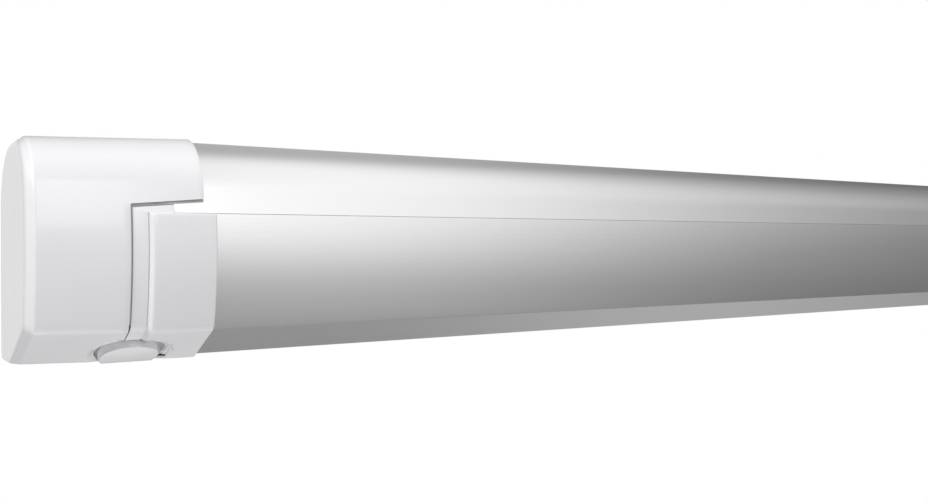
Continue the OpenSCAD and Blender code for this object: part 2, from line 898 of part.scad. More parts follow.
// Lead rail end cap: a raised panel over the rail end, a step and a strip set back beside the seam
strip_w = 9.4;
ridge_w = 3;
ridge_x = seam_x - strip_w;
panel_x = ridge_x - ridge_w;
strip_in = 0.8;
wall_in = 3.6;
cap_drop = 0.8;
strip_drop = 2.4;
cap_top_z = seam_z - seam_gap / 2 - cap_drop;
strip_top_z = hood_z - strip_drop;
rail_end = rail_x + seat;
end_wall = 3.5;
end_wall_in = 6;
edge_rib = 2.4;
edge_rib_in = 4;
module lead_cap_body() {
  cap_edge = -seam_x + back_gap;
  difference() {
    union() {
      difference() {
        union() {
          along_x(-panel_x, -rail_cap_x) section(-cap_proud, chan_back + seat);
          along_x(cap_edge, -ridge_x) section(strip_in, chan_back + seat);
          hull() {
            along_x(-ridge_x - eps, -ridge_x) section(strip_in, chan_back + seat, 0.5, 10);
            along_x(-panel_x, -panel_x + eps) section(-cap_proud, chan_back + seat, 0.5, 10);
          }
        }
        along_x(cap_edge - 1, -rail_end - seat) section(wall_in, 0);
        along_x(-rail_end - seat - eps, -rail_cap_x + 1) section(-seat, 0);
      }
      // End wall and the plug in the rail's closed chamber
      along_x(-rail_end - end_wall, -rail_end) intersection() {
        section(strip_in, chan_back + seat);
        union() {
          yz_box(-far, far, -far, web_top);
          yz_box(-far, crease_y + end_wall_in, -far, far);
        }
      }
      along_x(-rail_end - eps, -rail_cap_x) intersection() {
        section(wall_t + loose);
        yz_box(-far, chan_front - loose, -far, chan_top - loose);
      }
      // Rib that closes the edge beside the seam
      along_x(cap_edge, cap_edge + edge_rib) intersection() {
        section(strip_in);
        yz_box(-far, crease_y + edge_rib_in, -far, far);
      }
    }
    // Top edge, and the notch that clears the crank hub
    block([-seam_x - 1, -far, strip_top_z], [-case_x - loose, 0, far]);
    block([-case_x - loose - eps, -far, cap_top_z], [-rail_cap_x + 1, 0, far]);
    translate([apex_x, roll_y, -far / 2]) cylinder(r = hub_r + hub_gap, h = far);
    block([-seam_x - 1, roll_y, -far], [apex_x + hub_r + hub_gap, 0, far]);
  }
}

module lead_cap_left() {
  color("#f4f4f4") lead_cap_body();
}

module lead_cap_right() {
  color("#f4f4f4") right_side() lead_cap_body();
}

front_t = 4;
front_half = 18;
sole_t = 3;
head_room = 8;
front_face = wrist_y - boss_r - boss_gap;
module wrist_brackets() {
  sole_z = web_top + seat;
  color("#9a9ea1") both_sides() difference() {
    union() {
      intersection() {
        arm_place() translate([0, -fold_d, 0]) fork_plates(-1);
        block([-half, front_face - front_t + 1, sole_z], [half, 0, far]);
      }
      block([-shoulder_x - front_half, front_face - front_t, sole_z],
        [-shoulder_x + front_half, front_face, wrist_z + fork_out]);
      block([-shoulder_x - front_half, front_face - front_t, sole_z],
        [-shoulder_x + front_half, wrist_y - boss_r, sole_z + sole_t]);
    }
    arm_place() translate([0, -fold_d, 0]) {
      pivot_bore();
      translate([0, 0, -fork_out - head_room])
        cylinder(r = pin_r + pin_over + 1, h = head_room - run_fit);
      // Keeps the fork open for the tongue of the forearm
      translate([0, 0, -fork_in]) cylinder(r = boss_r + 1, h = 2 * fork_in);
    }
  }
}

module wrist_pins() {
  color("#d6d8da") both_sides() arm_place() translate([0, -fold_d, 0]) pivot_pin();
}

// Legs

leg_pin_r = 4;
cheek_t = 2;
cheek_x = 9;
knuckle_low = 0.4;
knuckle_r = leg_h / 2 - knuckle_low;
tube_start = 14;
plug_in = 28;
leg_cut = 2;
leg_in_cut = 1.2;
module leg_place() {
  translate([-leg_x, leg_y, leg_z]) children();
}

cheek_out = leg_w / 2 + leg_side_gap - seat;
module leg_brackets() {
  roof = chan_top - seat - leg_z;
  color("#3a3c3f") both_sides() leg_place() difference() {
    block([-cheek_x, -cheek_out, -leg_h / 2], [cheek_x, cheek_out, roof]);
    block([-cheek_x - 1, cheek_t - cheek_out, -leg_h],
      [cheek_x + 1, cheek_out - cheek_t, roof - cheek_t]);
    rod_y(-leg_w, leg_w, leg_pin_r + run_fit);
  }
}

module leg_pins() {
  color("#d6d8da") both_sides() leg_place() rod_y(-cheek_out, cheek_out, leg_pin_r);
}

module leg_tube(x0, x1, w, h) {
  along_x(x0, x1) difference() {
    tube_2d(w, h, leg_cut);
    tube_2d(w - 2 * leg_t, h - 2 * leg_t, leg_in_cut);
  }
}

mid_w = leg_w - 2 * leg_t - 2 * loose;
mid_h = leg_h - 2 * leg_t - 2 * loose;
inn_w = mid_w - 2 * leg_t - 2 * loose;
inn_h = mid_h - 2 * leg_t - 2 * loose;
foot_room = 26;
clamp_len = 46;
clamp_lap = 10;
clamp_side = 1;
clamp_up = 0.8;
clamp_end = leg_len - foot_room;
clamp_start = clamp_end - clamp_len;
outer_end = clamp_start + clamp_lap;
clamp_w = leg_w + 2 * leg_side_gap - 2 * clamp_side;
clamp_h = leg_h + leg_top_gap + leg_low_gap - 2 * clamp_up;
clamp_z = (leg_top_gap - leg_low_gap) / 2;

module leg_outer() {
  color("#d9dbdc") leg_place() leg_tube(tube_start, outer_end, leg_w, leg_h);
}

module leg_knuckle() {
  wide = 2 * cheek_out - 2 * cheek_t - 2 * loose;
  color("#3a3c3f") leg_place() difference() {
    union() {
      rod_y(-wide / 2, wide / 2, knuckle_r);
      block([0, -wide / 2, -knuckle_r], [tube_start - run_fit, wide / 2, knuckle_r]);
      along_x(tube_start - 1, tube_start + plug_in)
        tube_2d(leg_w - 2 * leg_t - 2 * seat, leg_h - 2 * leg_t - 2 * seat, leg_in_cut + seat);
    }
    rod_y(-leg_w, leg_w, leg_pin_r + run_fit);
  }
}

lever_len = 26;
lever_w = 12;
lever_t = 2.4;
lever_low = 1.5;
lever_rise = 1.7;
lever_end = 5;
lever_x = clamp_end - lever_end;
lever_z = clamp_z - clamp_h / 2 + lever_rise;
lever_eye = 1.1;
lever_pin = 0.8;
pin_half = lever_w / 2 + 2.5;
lever_room = 2.2;
clamp_cut = 2.5;
module leg_clamp() {
  color("#3a3c3f") leg_place() difference() {
    translate([0, 0, clamp_z]) along_x(clamp_start, clamp_end) tube_2d(clamp_w, clamp_h, clamp_cut);
    along_x(clamp_start - 1, outer_end + seat) tube_2d(leg_w + 2 * seat, leg_h + 2 * seat, leg_cut);
    along_x(outer_end, clamp_end + 1) tube_2d(mid_w + 2 * loose, mid_h + 2 * loose, leg_cut - loose);
    // Recess and pivot of the lever
    block([lever_x - lever_len - 1, -lever_w / 2 - loose, -leg_h],
      [lever_x + lever_room, lever_w / 2 + loose, lever_z + lever_room - loose]);
    translate([lever_x, 0, lever_z]) rod_y(-pin_half - loose, pin_half + loose, lever_pin + run_fit);
  }
}

module leg_lever() {
  color("#e0562a") leg_place() translate([lever_x, 0, lever_z]) {
    rod_y(-lever_w / 2, lever_w / 2, lever_eye);
    rod_y(-pin_half, pin_half, lever_pin);
    block([-lever_len, -lever_w / 2, -lever_low], [0, lever_w / 2, lever_t - lever_low]);
  }
}

mid_start = 90;
mid_out = 6;
mid_end = clamp_end + mid_out;
module leg_middle() {
  color("#cfd2d3") leg_place() leg_tube(mid_start, mid_end, mid_w, mid_h);
}

inn_start = 130;
inn_cut = 1.4;
inn_in_cut = 0.8;
foot_len = 18;
foot_sole = 6;
foot_cut = 3;
module leg_inner() {
  color("#c4c7c9") leg_place() along_x(inn_start, leg_len - foot_sole) difference() {
    tube_2d(inn_w, inn_h, inn_cut);
    tube_2d(inn_w - 2 * leg_t, inn_h - 2 * leg_t, inn_in_cut);
  }
}

module leg_foot() {
  color("#2a2b2d") leg_place() difference() {
    along_x(leg_len - foot_len, leg_len) tube_2d(leg_w, leg_h, foot_cut);
    along_x(leg_len - foot_len - 1, leg_len - foot_sole + run_fit)
      tube_2d(inn_w + 2 * run_fit, inn_h + 2 * run_fit, inn_cut);
  }
}

module leg_outer_left() {
  leg_outer();
}

module leg_knuckle_left() {
  leg_knuckle();
}

module leg_clamp_left() {
  leg_clamp();
}

module leg_lever_left() {
  leg_lever();
}

module leg_middle_left() {
  leg_middle();
}

module leg_inner_left() {
  leg_inner();
}

module leg_foot_left() {
  leg_foot();
}

module leg_outer_right() {
  right_side() leg_outer();
}

module leg_knuckle_right() {
  right_side() leg_knuckle();
}

module leg_clamp_right() {
  right_side() leg_clamp();
}

module leg_lever_right() {
  right_side() leg_lever();
}

module leg_middle_right() {
  right_side() leg_middle();
}

module leg_inner_right() {
  right_side() leg_inner();
}

module leg_foot_right() {
  right_side() leg_foot();
}

housing();
wall_seal();
front_seal();
wall_brackets();
bracket_screws();
end_plates();
end_cap_left();
end_cap_right();
cap_screws();
shoulder_brackets();
shoulder_pins();
gear_case();
gear_cover();
idler_case();
blank_plug();
roller_tube();
roller_plug_left();
roller_plug_right();
fabric_roll();
drive_gear();
crank_hub();
pinion_shaft();
fabric();
upper_arm_left();
shoulder_knuckle_left();
elbow_fork_left();
elbow_pin_left();
arm_spring_left();
forearm_left();
elbow_tongue_left();
wrist_knuckle_left();
upper_arm_right();
shoulder_knuckle_right();
elbow_fork_right();
elbow_pin_right();
arm_spring_right();
forearm_right();
elbow_tongue_right();
wrist_knuckle_right();
lead_rail();
lead_cap_left();
lead_cap_right();
wrist_brackets();
wrist_pins();
leg_brackets();
leg_pins();
leg_outer_left();
leg_knuckle_left();
leg_clamp_left();
leg_lever_left();
leg_middle_left();
leg_inner_left();
leg_foot_left();
leg_outer_right();
leg_knuckle_right();
leg_clamp_right();
leg_lever_right();
leg_middle_right();
leg_inner_right();
leg_foot_right();
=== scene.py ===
import json
import math

import bmesh
import bpy
import numpy as np
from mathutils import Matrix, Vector
from mathutils.geometry import tessellate_polygon


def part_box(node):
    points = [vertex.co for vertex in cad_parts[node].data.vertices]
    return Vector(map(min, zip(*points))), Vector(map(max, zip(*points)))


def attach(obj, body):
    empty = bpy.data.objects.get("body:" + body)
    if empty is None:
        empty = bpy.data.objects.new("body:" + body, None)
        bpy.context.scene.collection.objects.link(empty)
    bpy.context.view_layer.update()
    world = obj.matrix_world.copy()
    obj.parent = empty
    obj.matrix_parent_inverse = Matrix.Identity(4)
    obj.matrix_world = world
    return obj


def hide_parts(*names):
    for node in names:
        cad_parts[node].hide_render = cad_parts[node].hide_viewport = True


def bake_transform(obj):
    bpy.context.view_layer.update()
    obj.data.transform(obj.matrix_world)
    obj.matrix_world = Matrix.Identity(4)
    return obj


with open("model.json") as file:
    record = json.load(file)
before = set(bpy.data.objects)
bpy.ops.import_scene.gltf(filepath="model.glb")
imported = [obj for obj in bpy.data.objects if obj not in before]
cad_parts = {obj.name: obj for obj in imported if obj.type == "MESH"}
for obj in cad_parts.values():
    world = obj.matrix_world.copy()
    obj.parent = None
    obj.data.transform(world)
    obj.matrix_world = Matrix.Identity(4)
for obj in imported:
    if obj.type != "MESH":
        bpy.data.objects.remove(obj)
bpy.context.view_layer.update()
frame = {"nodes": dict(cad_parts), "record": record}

scene = bpy.context.scene
scene.view_settings.view_transform = "Standard"

# The view: the camera stands at the left end, level with the middle of the case, and sees a little over
# 0.8 m of the length. The studio is brightest at the front on the left and falls off to the right.
camera_data = bpy.data.cameras.new("camera")
camera_data.sensor_width = 36.0
camera_data.lens = 35.1
camera_data.clip_start = 0.01
camera_data.clip_end = 200.0
camera = bpy.data.objects.new("camera", camera_data)
scene.collection.objects.link(camera)
scene.camera = camera
turn, dip = math.radians(32.53), math.radians(0.52)
gaze = Vector((math.sin(turn), math.cos(turn), -math.sin(dip)))
camera.location = (-1.009, -0.621, 0.0046)
camera.rotation_mode = "QUATERNION"
camera.rotation_quaternion = gaze.to_track_quat("-Z", "Y")


class Wire:
    """One output of a shader node. Arithmetic adds Math nodes, and make() adds any other node."""

    def __init__(self, tree, socket=None):
        self.tree, self.socket = tree, socket

    def make(self, kind, settings={}, inputs={}, out=0):
        """Adds a node with its settings, wires or values for its inputs, and the output to go on from."""
        node = self.tree.nodes.new("ShaderNode" + kind)
        for key, value in settings.items():
            setattr(node, key, value)
        for key, value in inputs.items():
            if isinstance(value, Wire):
                self.tree.links.new(value.socket, node.inputs[key])
            else:
                node.inputs[key].default_value = value
        return Wire(self.tree, node.outputs[out])

    def maths(self, operation, first, second):
        """A Math node with two inputs, each a wire or a number."""
        return self.make("Math", {"operation": operation}, {0: first, 1: second})

    def __add__(self, other):
        return self.maths("ADD", self, other)

    __radd__ = __add__

    def __mul__(self, other):
        return self.maths("MULTIPLY", self, other)

    __rmul__ = __mul__

    def __sub__(self, other):
        return self.maths("SUBTRACT", self, other)

    def __rsub__(self, other):
        return self.maths("SUBTRACT", other, self)

    def step(self, low, high):
        """0 below low, 1 above high, smooth between."""
        return self.make("MapRange", {"interpolation_type": "SMOOTHSTEP"}, {0: self, 1: low, 2: high})

    def tint(self, first, second):
        """The colour first where this value is 0, and second where it is 1."""
        inputs = {0: self, 6: (*first, 1.0), 7: (*second, 1.0)}
        return self.make("Mix", {"data_type": "RGBA"}, inputs, 2)

    def stretched(self, x, y, z):
        """These coordinates multiplied along each axis."""
        return self.make("Mapping", {}, {"Vector": self, "Scale": (x, y, z)})

    def noise(self, scale, detail=2.0, rough=0.5):
        """Cloudy noise over these coordinates, mostly from 0.2 to 0.8."""
        inputs = {"Vector": self, "Scale": scale, "Detail": detail, "Roughness": rough}
        return self.make("TexNoise", {}, inputs)

    def part(self, axis):
        """One of these coordinates: 0, 1 or 2 for X, Y or Z."""
        return self.make("SeparateXYZ", {}, {0: self}, axis)

    def wave(self, rate):
        """The sine of this value times rate."""
        return self.make("Math", {"operation": "SINE"}, {0: self * rate})

    def rays(self):
        """Three values, each 1 for a ray from the camera, from a mirror or through glass."""
        return [self.make("LightPath", out=f"Is {kind} Ray") for kind in ("Camera", "Glossy", "Transmission")]

    def relief(self, strength, depth):
        """A normal from this height, depth metres for one unit of height."""
        return self.make("Bump", {}, {"Height": self, "Strength": strength, "Distance": depth})

    def into(self, node, socket):
        """Links this output to a socket of a node."""
        self.tree.links.new(self.socket, node.inputs[socket])


# Studio light: a soft lobe at the front left in the world, a key box up on the left, a low box under the
# end, and a tall panel in front that the metal mirrors. The background is white, but only the camera sees
# it, or a mirror that looks the same way.
world = bpy.data.worlds.new("studio")
scene.world = world
world.use_nodes = True
sky = Wire(world.node_tree)
toward = sky.make("TexCoord", out="Generated")
across, deep, high = (toward.part(axis) for axis in range(3))
leftward = 0.275 + 0.725 * across.step(0.0, 0.3)
lower = 0.335 * (1 - across.step(0.44, 0.88))
later = 0.18 * high.step(0.0, 0.45) * (1 - deep.step(-0.4, 0.0))
upper = 0.665 * high.step(-0.38, 0.13) * (1 - (across - later).step(0.29, 0.97))
rearward = 1 - 0.66 * deep.step(-0.18, 0.42)
far_floor = 0.32 * across.step(0.4, 0.75) * deep.step(0.0, 0.3) * (1 - high.step(-0.45, -0.2))
dim_top = 1 - 0.6 * across.step(0.5, 0.85) * deep.step(0.0, 0.4) * high.step(0.0, 0.25)
studio = 0.14 * dim_top + far_floor + leftward * (lower + upper) * rearward
behind = 0.7 * deep.step(0.8, 0.95) * (1 - high.step(0.2, 0.35)) * high.step(-0.35, -0.2)
eye, mirror, glass = sky.rays()
seen = eye + (mirror + glass) * behind
(studio + seen * (1 - studio)).into(world.node_tree.nodes["Background"], "Color")

for name, place, target, extent, watts, mirrored in (
    ("key_box", (-2.4, -0.9, 1.4), (-0.9, -0.05, 0.0), (1.0, 1.0), 38.5, True),
    ("low_box", (-1.0, -0.05, -1.3), (-0.9, -0.06, -0.05), (0.8, 0.8), 11.0, False),
    ("front_panel", (-0.8, -1.6, 0.68), (-0.8, 0.0, 0.68), (0.36, 0.9), 2.1, True),
):
    lamp_data = bpy.data.lights.new(name, "AREA")
    lamp_data.shape = "RECTANGLE"
    lamp_data.size, lamp_data.size_y = extent
    lamp_data.energy = watts
    lamp = bpy.data.objects.new(name, lamp_data)
    lamp.location = place
    lamp.rotation_mode = "QUATERNION"
    lamp.rotation_quaternion = (Vector(target) - Vector(place)).to_track_quat("-Z", "Y")
    lamp.visible_glossy = mirrored
    scene.collection.objects.link(lamp)


def place_mesh(name, points, faces, soft_angle=30.0):
    """A piece from an array of points in millimetres and lists of corner numbers, smooth below an angle."""
    mesh = bpy.data.meshes.new(name)
    metres = np.asarray(points, float) * 0.001
    mesh.from_pydata(metres.tolist(), [], [list(map(int, f)) for f in faces])
    mesh.update()
    mesh.validate()
    mesh.shade_smooth()
    mesh.set_sharp_from_angle(angle=math.radians(soft_angle))
    piece = bpy.data.objects.new(name, mesh)
    scene.collection.objects.link(piece)
    return piece


def new_finish(name, **plain):
    """A material, its shader with plain values set on its own sockets, and its object coordinates."""
    finish = bpy.data.materials.new(name)
    finish.use_nodes = True
    shader = finish.node_tree.nodes["Principled BSDF"]
    for socket, value in plain.items():
        shader.inputs[socket.replace("_", " ")].default_value = value
    return finish, shader, Wire(finish.node_tree).make("TexCoord", out="Object")


# Floor: pale and plain, at the height where the feet of the run-out legs stand. It fades to white
# away from the middle, so that no edge of it shows.
floor_z, floor_r, floor_y, floor_sides = -2.006, 2.1, -0.7, 96
fade_start, fade_end, floor_lift = 1.2, 2.0, 0.55
ring = np.linspace(0.0, 2 * math.pi, floor_sides, endpoint=False)
floor_x, floor_out = floor_r * np.cos(ring), floor_y + floor_r * np.sin(ring)
floor_points = np.stack([floor_x, floor_out, np.full(floor_sides, floor_z)], 1) * 1000
floor = place_mesh("floor", floor_points, [range(floor_sides)])
floor_finish, floor_shader, floor_place = new_finish("floor_paint", Roughness=0.9)
from_middle = {0: floor_place, 1: (0.0, floor_y, floor_z)}
distance = floor_place.make("VectorMath", {"operation": "DISTANCE"}, from_middle, "Value")
away = distance.step(fade_start, fade_end)
grain = floor_place.noise(3.0)
grain.tint((0.48, 0.48, 0.48), (0.52, 0.52, 0.52)).into(floor_shader, "Base Color")
eye, mirror, glass = floor_place.rays()
glow = floor_place.make("Emission", {}, {"Color": (1, 1, 1, 1), "Strength": 1.0})
rear = floor_place.part(1).step(0.5, 2.0)
pale = eye * (floor_lift + (1 - floor_lift) * away) + (mirror + glass) * rear * away
blend_out = floor_place.make("MixShader", {}, {0: pale})
floor_finish.node_tree.links.new(floor_shader.outputs[0], blend_out.socket.node.inputs[1])
floor_finish.node_tree.links.new(glow.socket, blend_out.socket.node.inputs[2])
blend_out.into(floor_finish.node_tree.nodes["Material Output"], "Surface")
floor.data.materials.append(floor_finish)

# Case: one drawn aluminium profile with a rounded front, satin anodised. Its back carries the hook
# and the rib for the wall brackets, and inside it has the slot for the shoulder brackets.
case_top, case_low, case_back, wall = 66.0, -66.0, -14.0, 2.2
case_half = 870.0
seam_z, seam_line = 21.3, 0.04
bulge, bulge_r = np.array([75.0, 2.0]), 170.0
roll, top_r = np.array([-54.41406, 28.0]), 38.0
join = math.atan2(roll[1] - bulge[1], roll[0] - bulge[0])
inner_back = case_back - wall


def arc(centre, radius, start, stop, count):
    """Points on a circle about centre, from the angle start to the angle stop."""
    angle = np.linspace(start, stop, count)
    return np.asarray(centre) + radius * np.stack([np.cos(angle), np.sin(angle)], 1)


def bulge_angle(inset, z):
    """The angle about the bulge's centre at which the front, set in by inset, has the height z."""
    return math.pi - np.arcsin((z - bulge[1]) / (bulge_r - inset))


def eased(corners, radius, steps=5):
    """A closed outline with each corner rounded. The arc's centre is on the corner's bisector, at the
    distance radius / sin(half the corner's angle) from it."""
    p = np.asarray(corners, float)
    r = np.broadcast_to(np.asarray(radius, float), len(p))[:, None]
    back, on = np.roll(p, 1, 0) - p, np.roll(p, -1, 0) - p
    back /= np.linalg.norm(back, axis=1, keepdims=True)
    on /= np.linalg.norm(on, axis=1, keepdims=True)
    half = np.arccos(np.clip((back * on).sum(1, keepdims=True), -1, 1)) / 2
    middle = (back + on) / np.maximum(np.linalg.norm(back + on, axis=1, keepdims=True), 1e-9)
    centre = p + middle * r / np.sin(half)
    start, stop = p + back * r / np.tan(half) - centre, p + on * r / np.tan(half) - centre
    sweep = math.pi - 2 * half
    t = np.linspace(0, 1, steps)[:, None, None]
    wide = np.maximum(np.sin(sweep), 1e-6)
    points = centre + (np.sin((1 - t) * sweep) * start + np.sin(t * sweep) * stop) / wide
    points = points.transpose(1, 0, 2).reshape(-1, 2)
    return points[np.linalg.norm(points - np.roll(points, 1, 0), axis=1) > 1e-4]


def held(outline, near=0.25, long=2.0):
    """A closed outline whose long sides get a point near each end, so that they shade flat."""
    run = np.roll(outline, -1, 0) - outline
    length = np.linalg.norm(run, axis=1, keepdims=True)
    hold = near * run / length
    keep = np.hstack([length > 0, length > long, length > long])
    return np.stack([outline, outline + hold, outline + run - hold], 1)[keep]


def outward(piece, soft_angle=30.0):
    """Turns every face of a closed piece to face out."""
    shell = bmesh.new()
    shell.from_mesh(piece.data)
    bmesh.ops.recalc_face_normals(shell, faces=shell.faces)
    shell.to_mesh(piece.data)
    shell.free()
    piece.data.set_sharp_from_angle(angle=math.radians(soft_angle))


def drawn_bar(name, loops, stations):
    """A profile carried along X: loops are its outline and hollows in Y and Z, stations the X values."""
    points, faces, first = [], [], 0
    loops, stations = [held(np.asarray(loop, float)) for loop in loops], np.asarray(stations, float)
    for loop in loops:
        n = len(loop)
        x = np.repeat(stations, n)[:, None]
        points.append(np.hstack([x, np.tile(loop, (len(stations), 1))]))
        a = first + np.arange(n) + n * np.arange(len(stations) - 1)[:, None]
        b = first + np.roll(np.arange(n), -1) + n * np.arange(len(stations) - 1)[:, None]
        faces += np.stack([a, b, b + n, a + n], -1).reshape(-1, 4).tolist()
        first += n * len(stations)
    flat = [[Vector((0, *p)) for p in loop] for loop in loops]
    sizes = [len(loop) for loop in loops]
    starts = [len(stations) * sum(sizes[:k]) for k in range(len(sizes))]
    offset = np.concatenate([np.arange(n) + start for n, start in zip(sizes, starts)])
    last = np.concatenate([np.full(n, n * (len(stations) - 1)) for n in sizes])
    ends = np.array(tessellate_polygon(flat))
    faces += offset[ends].tolist() + (offset + last)[ends].tolist()
    piece = place_mesh(name, np.vstack(points), faces)
    outward(piece)
    return piece


lip_z, lip_r = seam_z + seam_line / 2, 0.06
fall = np.array([-math.sin(join), math.cos(join)])


def cover_skin(radius, count):
    """The round top about the roll, then a straight front along its tangent, down to the lip."""
    top = arc(roll, radius, math.pi / 2, join, count)
    return np.vstack([top, top[-1] + fall * (lip_z - top[-1, 1]) / fall[1]])


cover_outer, cover_inner = cover_skin(top_r, 48), cover_skin(top_r - wall, 40)[::-1]
slot_y, slot_high, slot_low, lip, slot_wall, slot_play = -21.6, -8.16, -38.16, 2.0, 2.4, 0.2
hook_out, hook_in, hook_low, hook_z, hook_top = -6.0, -8.2, 48.0, 56.0, 58.2
rib_low, rib_top, foot_in = -46.0, -43.8, 3.0
inner_lip_r, corner_r = 0.5, 0.45
back_corners = [
    (inner_back, case_top - wall), (inner_back, slot_high + slot_wall), (slot_y - lip, slot_high + slot_wall),
    (slot_y - lip, slot_high - lip), (slot_y, slot_high - lip), (slot_y, slot_high + slot_play),
    (inner_back, slot_high + slot_play), (inner_back, slot_low - slot_play), (slot_y, slot_low - slot_play),
    (slot_y, slot_low + lip), (slot_y - lip, slot_low + lip), (slot_y - lip, slot_low - slot_wall),
    (inner_back, slot_low - slot_wall), (inner_back, case_low + wall),
    (inner_back - foot_in, case_low + wall), (inner_back - foot_in, case_low), (case_back, case_low),
    (case_back, rib_low), (case_back / 3, rib_low), (case_back / 3, rib_top), (case_back, rib_top),
    (case_back, hook_z), (hook_in, hook_z), (hook_in, hook_low), (hook_out, hook_low), (hook_out, hook_top),
    (case_back, hook_top), (case_back, case_top)]
case_loop = np.vstack([cover_outer, cover_inner, back_corners])
case_round = np.concatenate([
    np.zeros(len(cover_outer) - 1), [lip_r, inner_lip_r], np.zeros(len(cover_inner) - 1),
    np.full(len(back_corners), corner_r)])
case_cover = drawn_bar("case_cover", [eased(case_loop, case_round, 4)], [-case_half, case_half])

# Satin anodised aluminium: faint drawing lines run along the profile, and the polish varies a little.
drawn, drawn_shader, drawn_place = new_finish("drawn_aluminium", Metallic=1.0)
lines = drawn_place.stretched(1.5, 900.0, 900.0).noise(1.0, 4.0, 0.6)
fine = drawn_place.stretched(60.0, 2600.0, 2600.0).noise(1.0, 2.0)
cloud = drawn_place.stretched(3.0, 14.0, 14.0).noise(1.0, 3.0)
tone = 0.5 * lines + 0.3 * fine + 0.2 * cloud
tone.step(0.2, 0.8).tint((0.85, 0.85, 0.855), (0.89, 0.89, 0.89)).into(drawn_shader, "Base Color")
(0.27 + 0.05 * lines + 0.04 * cloud).into(drawn_shader, "Roughness")
(0.6 * lines + 0.4 * fine).relief(0.04, 0.0002).into(drawn_shader, "Normal")


def dress(piece, finish, body, *nodes, slot=None):
    """Gives a piece its finish and body, and hides the CAD nodes that it stands for."""
    piece.data.materials.clear()
    piece.data.materials.append(finish)
    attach(piece, body)
    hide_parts(*nodes)
    return piece


dress(case_cover, drawn, "cassette", "housing", slot="case")

# Lead rail: a second drawn profile that closes the front. It has a bulging face with a crease, a sloping
# underside, a hollow nose, the leg channel behind it, and a round groove for the bead of the fabric.
rail_half = 863.2
bevel = math.radians(27.0)
slope_in = np.array([math.sin(bevel), math.cos(bevel)])
crease_z = -45.5
crease = np.array([bulge[0] - math.sqrt(bulge_r**2 - (crease_z - bulge[1]) ** 2), crease_z])


def crease_angle(inset):
    """The angle about the bulge's centre where the front, set in by inset, meets the underside."""
    reach = (np.asarray(inset, float) - slope_in @ (bulge - crease)) / (bulge_r - inset)
    return math.pi - bevel - np.arcsin(reach)


def crease_point(inset):
    """Where the front and the sloping underside meet, both set in by inset."""
    angle, radius = crease_angle(inset), bulge_r - np.asarray(inset, float)
    return np.stack([bulge[0] + radius * np.cos(angle), bulge[1] + radius * np.sin(angle)], -1)


def foot_y(inset, level=case_low):
    """Where the sloping underside, set in by inset, reaches the bottom at this level set in as much."""
    return crease[0] + (inset - math.cos(bevel) * (level + inset - crease_z)) / math.sin(bevel)


rail_top = seam_z - seam_line / 2
chan_back, chan_in_back, chan_in_front, chan_front = -20.7, -22.9, -45.9, -48.1
chan_top, web_top = -45.7, -43.5
bead = np.array([-87.7147, 14.5863])
groove_r, groove_out, groove_sunk, mouth = 3.4, 5.0, 0.4, 1.2
mouth_a, mouth_b = math.radians(323.42), math.radians(366.5)
to_wall = math.atan2(bead[1] - bulge[1], bead[0] - bulge[0])
meet = math.acos((groove_out - groove_sunk) / groove_out)
out_half, in_half = math.asin(mouth / groove_out), math.asin(mouth / groove_r)
rail_crease_z = -47.6
rail_outer = arc(bulge, bulge_r, bulge_angle(0, rail_top), bulge_angle(0, rail_crease_z), 60)
channel = [
    (foot_y(0), case_low), (chan_in_front, case_low), (chan_in_front, chan_top),
    (chan_in_back, chan_top), (chan_in_back, case_low), (chan_back, case_low), (chan_back, web_top)]
inner_r = bulge_r - wall
wall_low = arc(bulge, inner_r, bulge_angle(wall, web_top), bulge_angle(wall, bead[1] - 2.0), 30)
wall_high = arc(bulge, inner_r, bulge_angle(wall, bead[1] + 2.5), bulge_angle(wall, rail_top), 6)
groove = np.vstack([
    arc(bead, groove_out, to_wall + meet, mouth_a - out_half, 16),
    arc(bead, groove_r, mouth_a - in_half, mouth_b + in_half - 2 * math.pi, 40),
    arc(bead, groove_out, mouth_b + out_half, to_wall - meet + 2 * math.pi, 20)])
rail_loop = np.vstack([rail_outer, channel, wall_low, groove, wall_high])
rail_round = np.concatenate([
    [lip_r], np.zeros(len(rail_outer) - 2), [0.7], [1.0, 0.5, 0.6, 0.6, 0.5, 0.5, 0.6],
    [0.6], np.zeros(len(wall_low) + len(groove) + len(wall_high) - 2), [0.5]])
nose = crease_point(wall)
nose_slope = math.tan(bevel)
nose_loop = eased([
    (nose[0] + (nose[1] - chan_top) / nose_slope, chan_top), (chan_front, chan_top),
    (chan_front, nose[1] - (chan_front - nose[0]) * nose_slope)], 1.2)
lead_bar = drawn_bar("lead_bar", [eased(rail_loop, rail_round, 4), nose_loop], [-rail_half, rail_half])
dress(lead_bar, drawn, "lead_rail", "lead_rail", slot="case")

# End caps: moulded white plastic shells that close the case. A hood reaches over the cover, a bevel
# runs round the domed outer end, and a round pocket under it takes the crank hub.
hood_x, seam_x, open_x = 853.0, 894.0, 924.0
proud, taper, cap_t, cover_gap = 2.0, 3.5, 2.6, 0.3
bevel_x, bevel_end, bevel_in, lean_out, dome = 942.6, 947.0, 4.0, 3.0, 0.8
cap_back, skirt_y, cap_drop = -4.0, -16.0, 1.7
top_corner, low_corner, hood_corner = 34.0, 5.0, 5.0
bevel_run, bevel_rounds, lean_run = 2.0, [0, 2.5, 5.0, 0], 3.0
clear_from, clear_to = case_half + 2.0, case_half + 10.0
hood_z, hood_rise, rebate = 24.3, 3.5, 1.75
rebate_x, rebate_in = [872.0, 881.0, seam_x], [-0.5, 0.7, 1.1]
crease_r, foot_r = 8.0, 3.5
slope_down = 1.5 * math.pi - bevel


def mixed(a, b, t):
    """What lies at the share t of the way from a to b."""
    return a + (b - a) * t


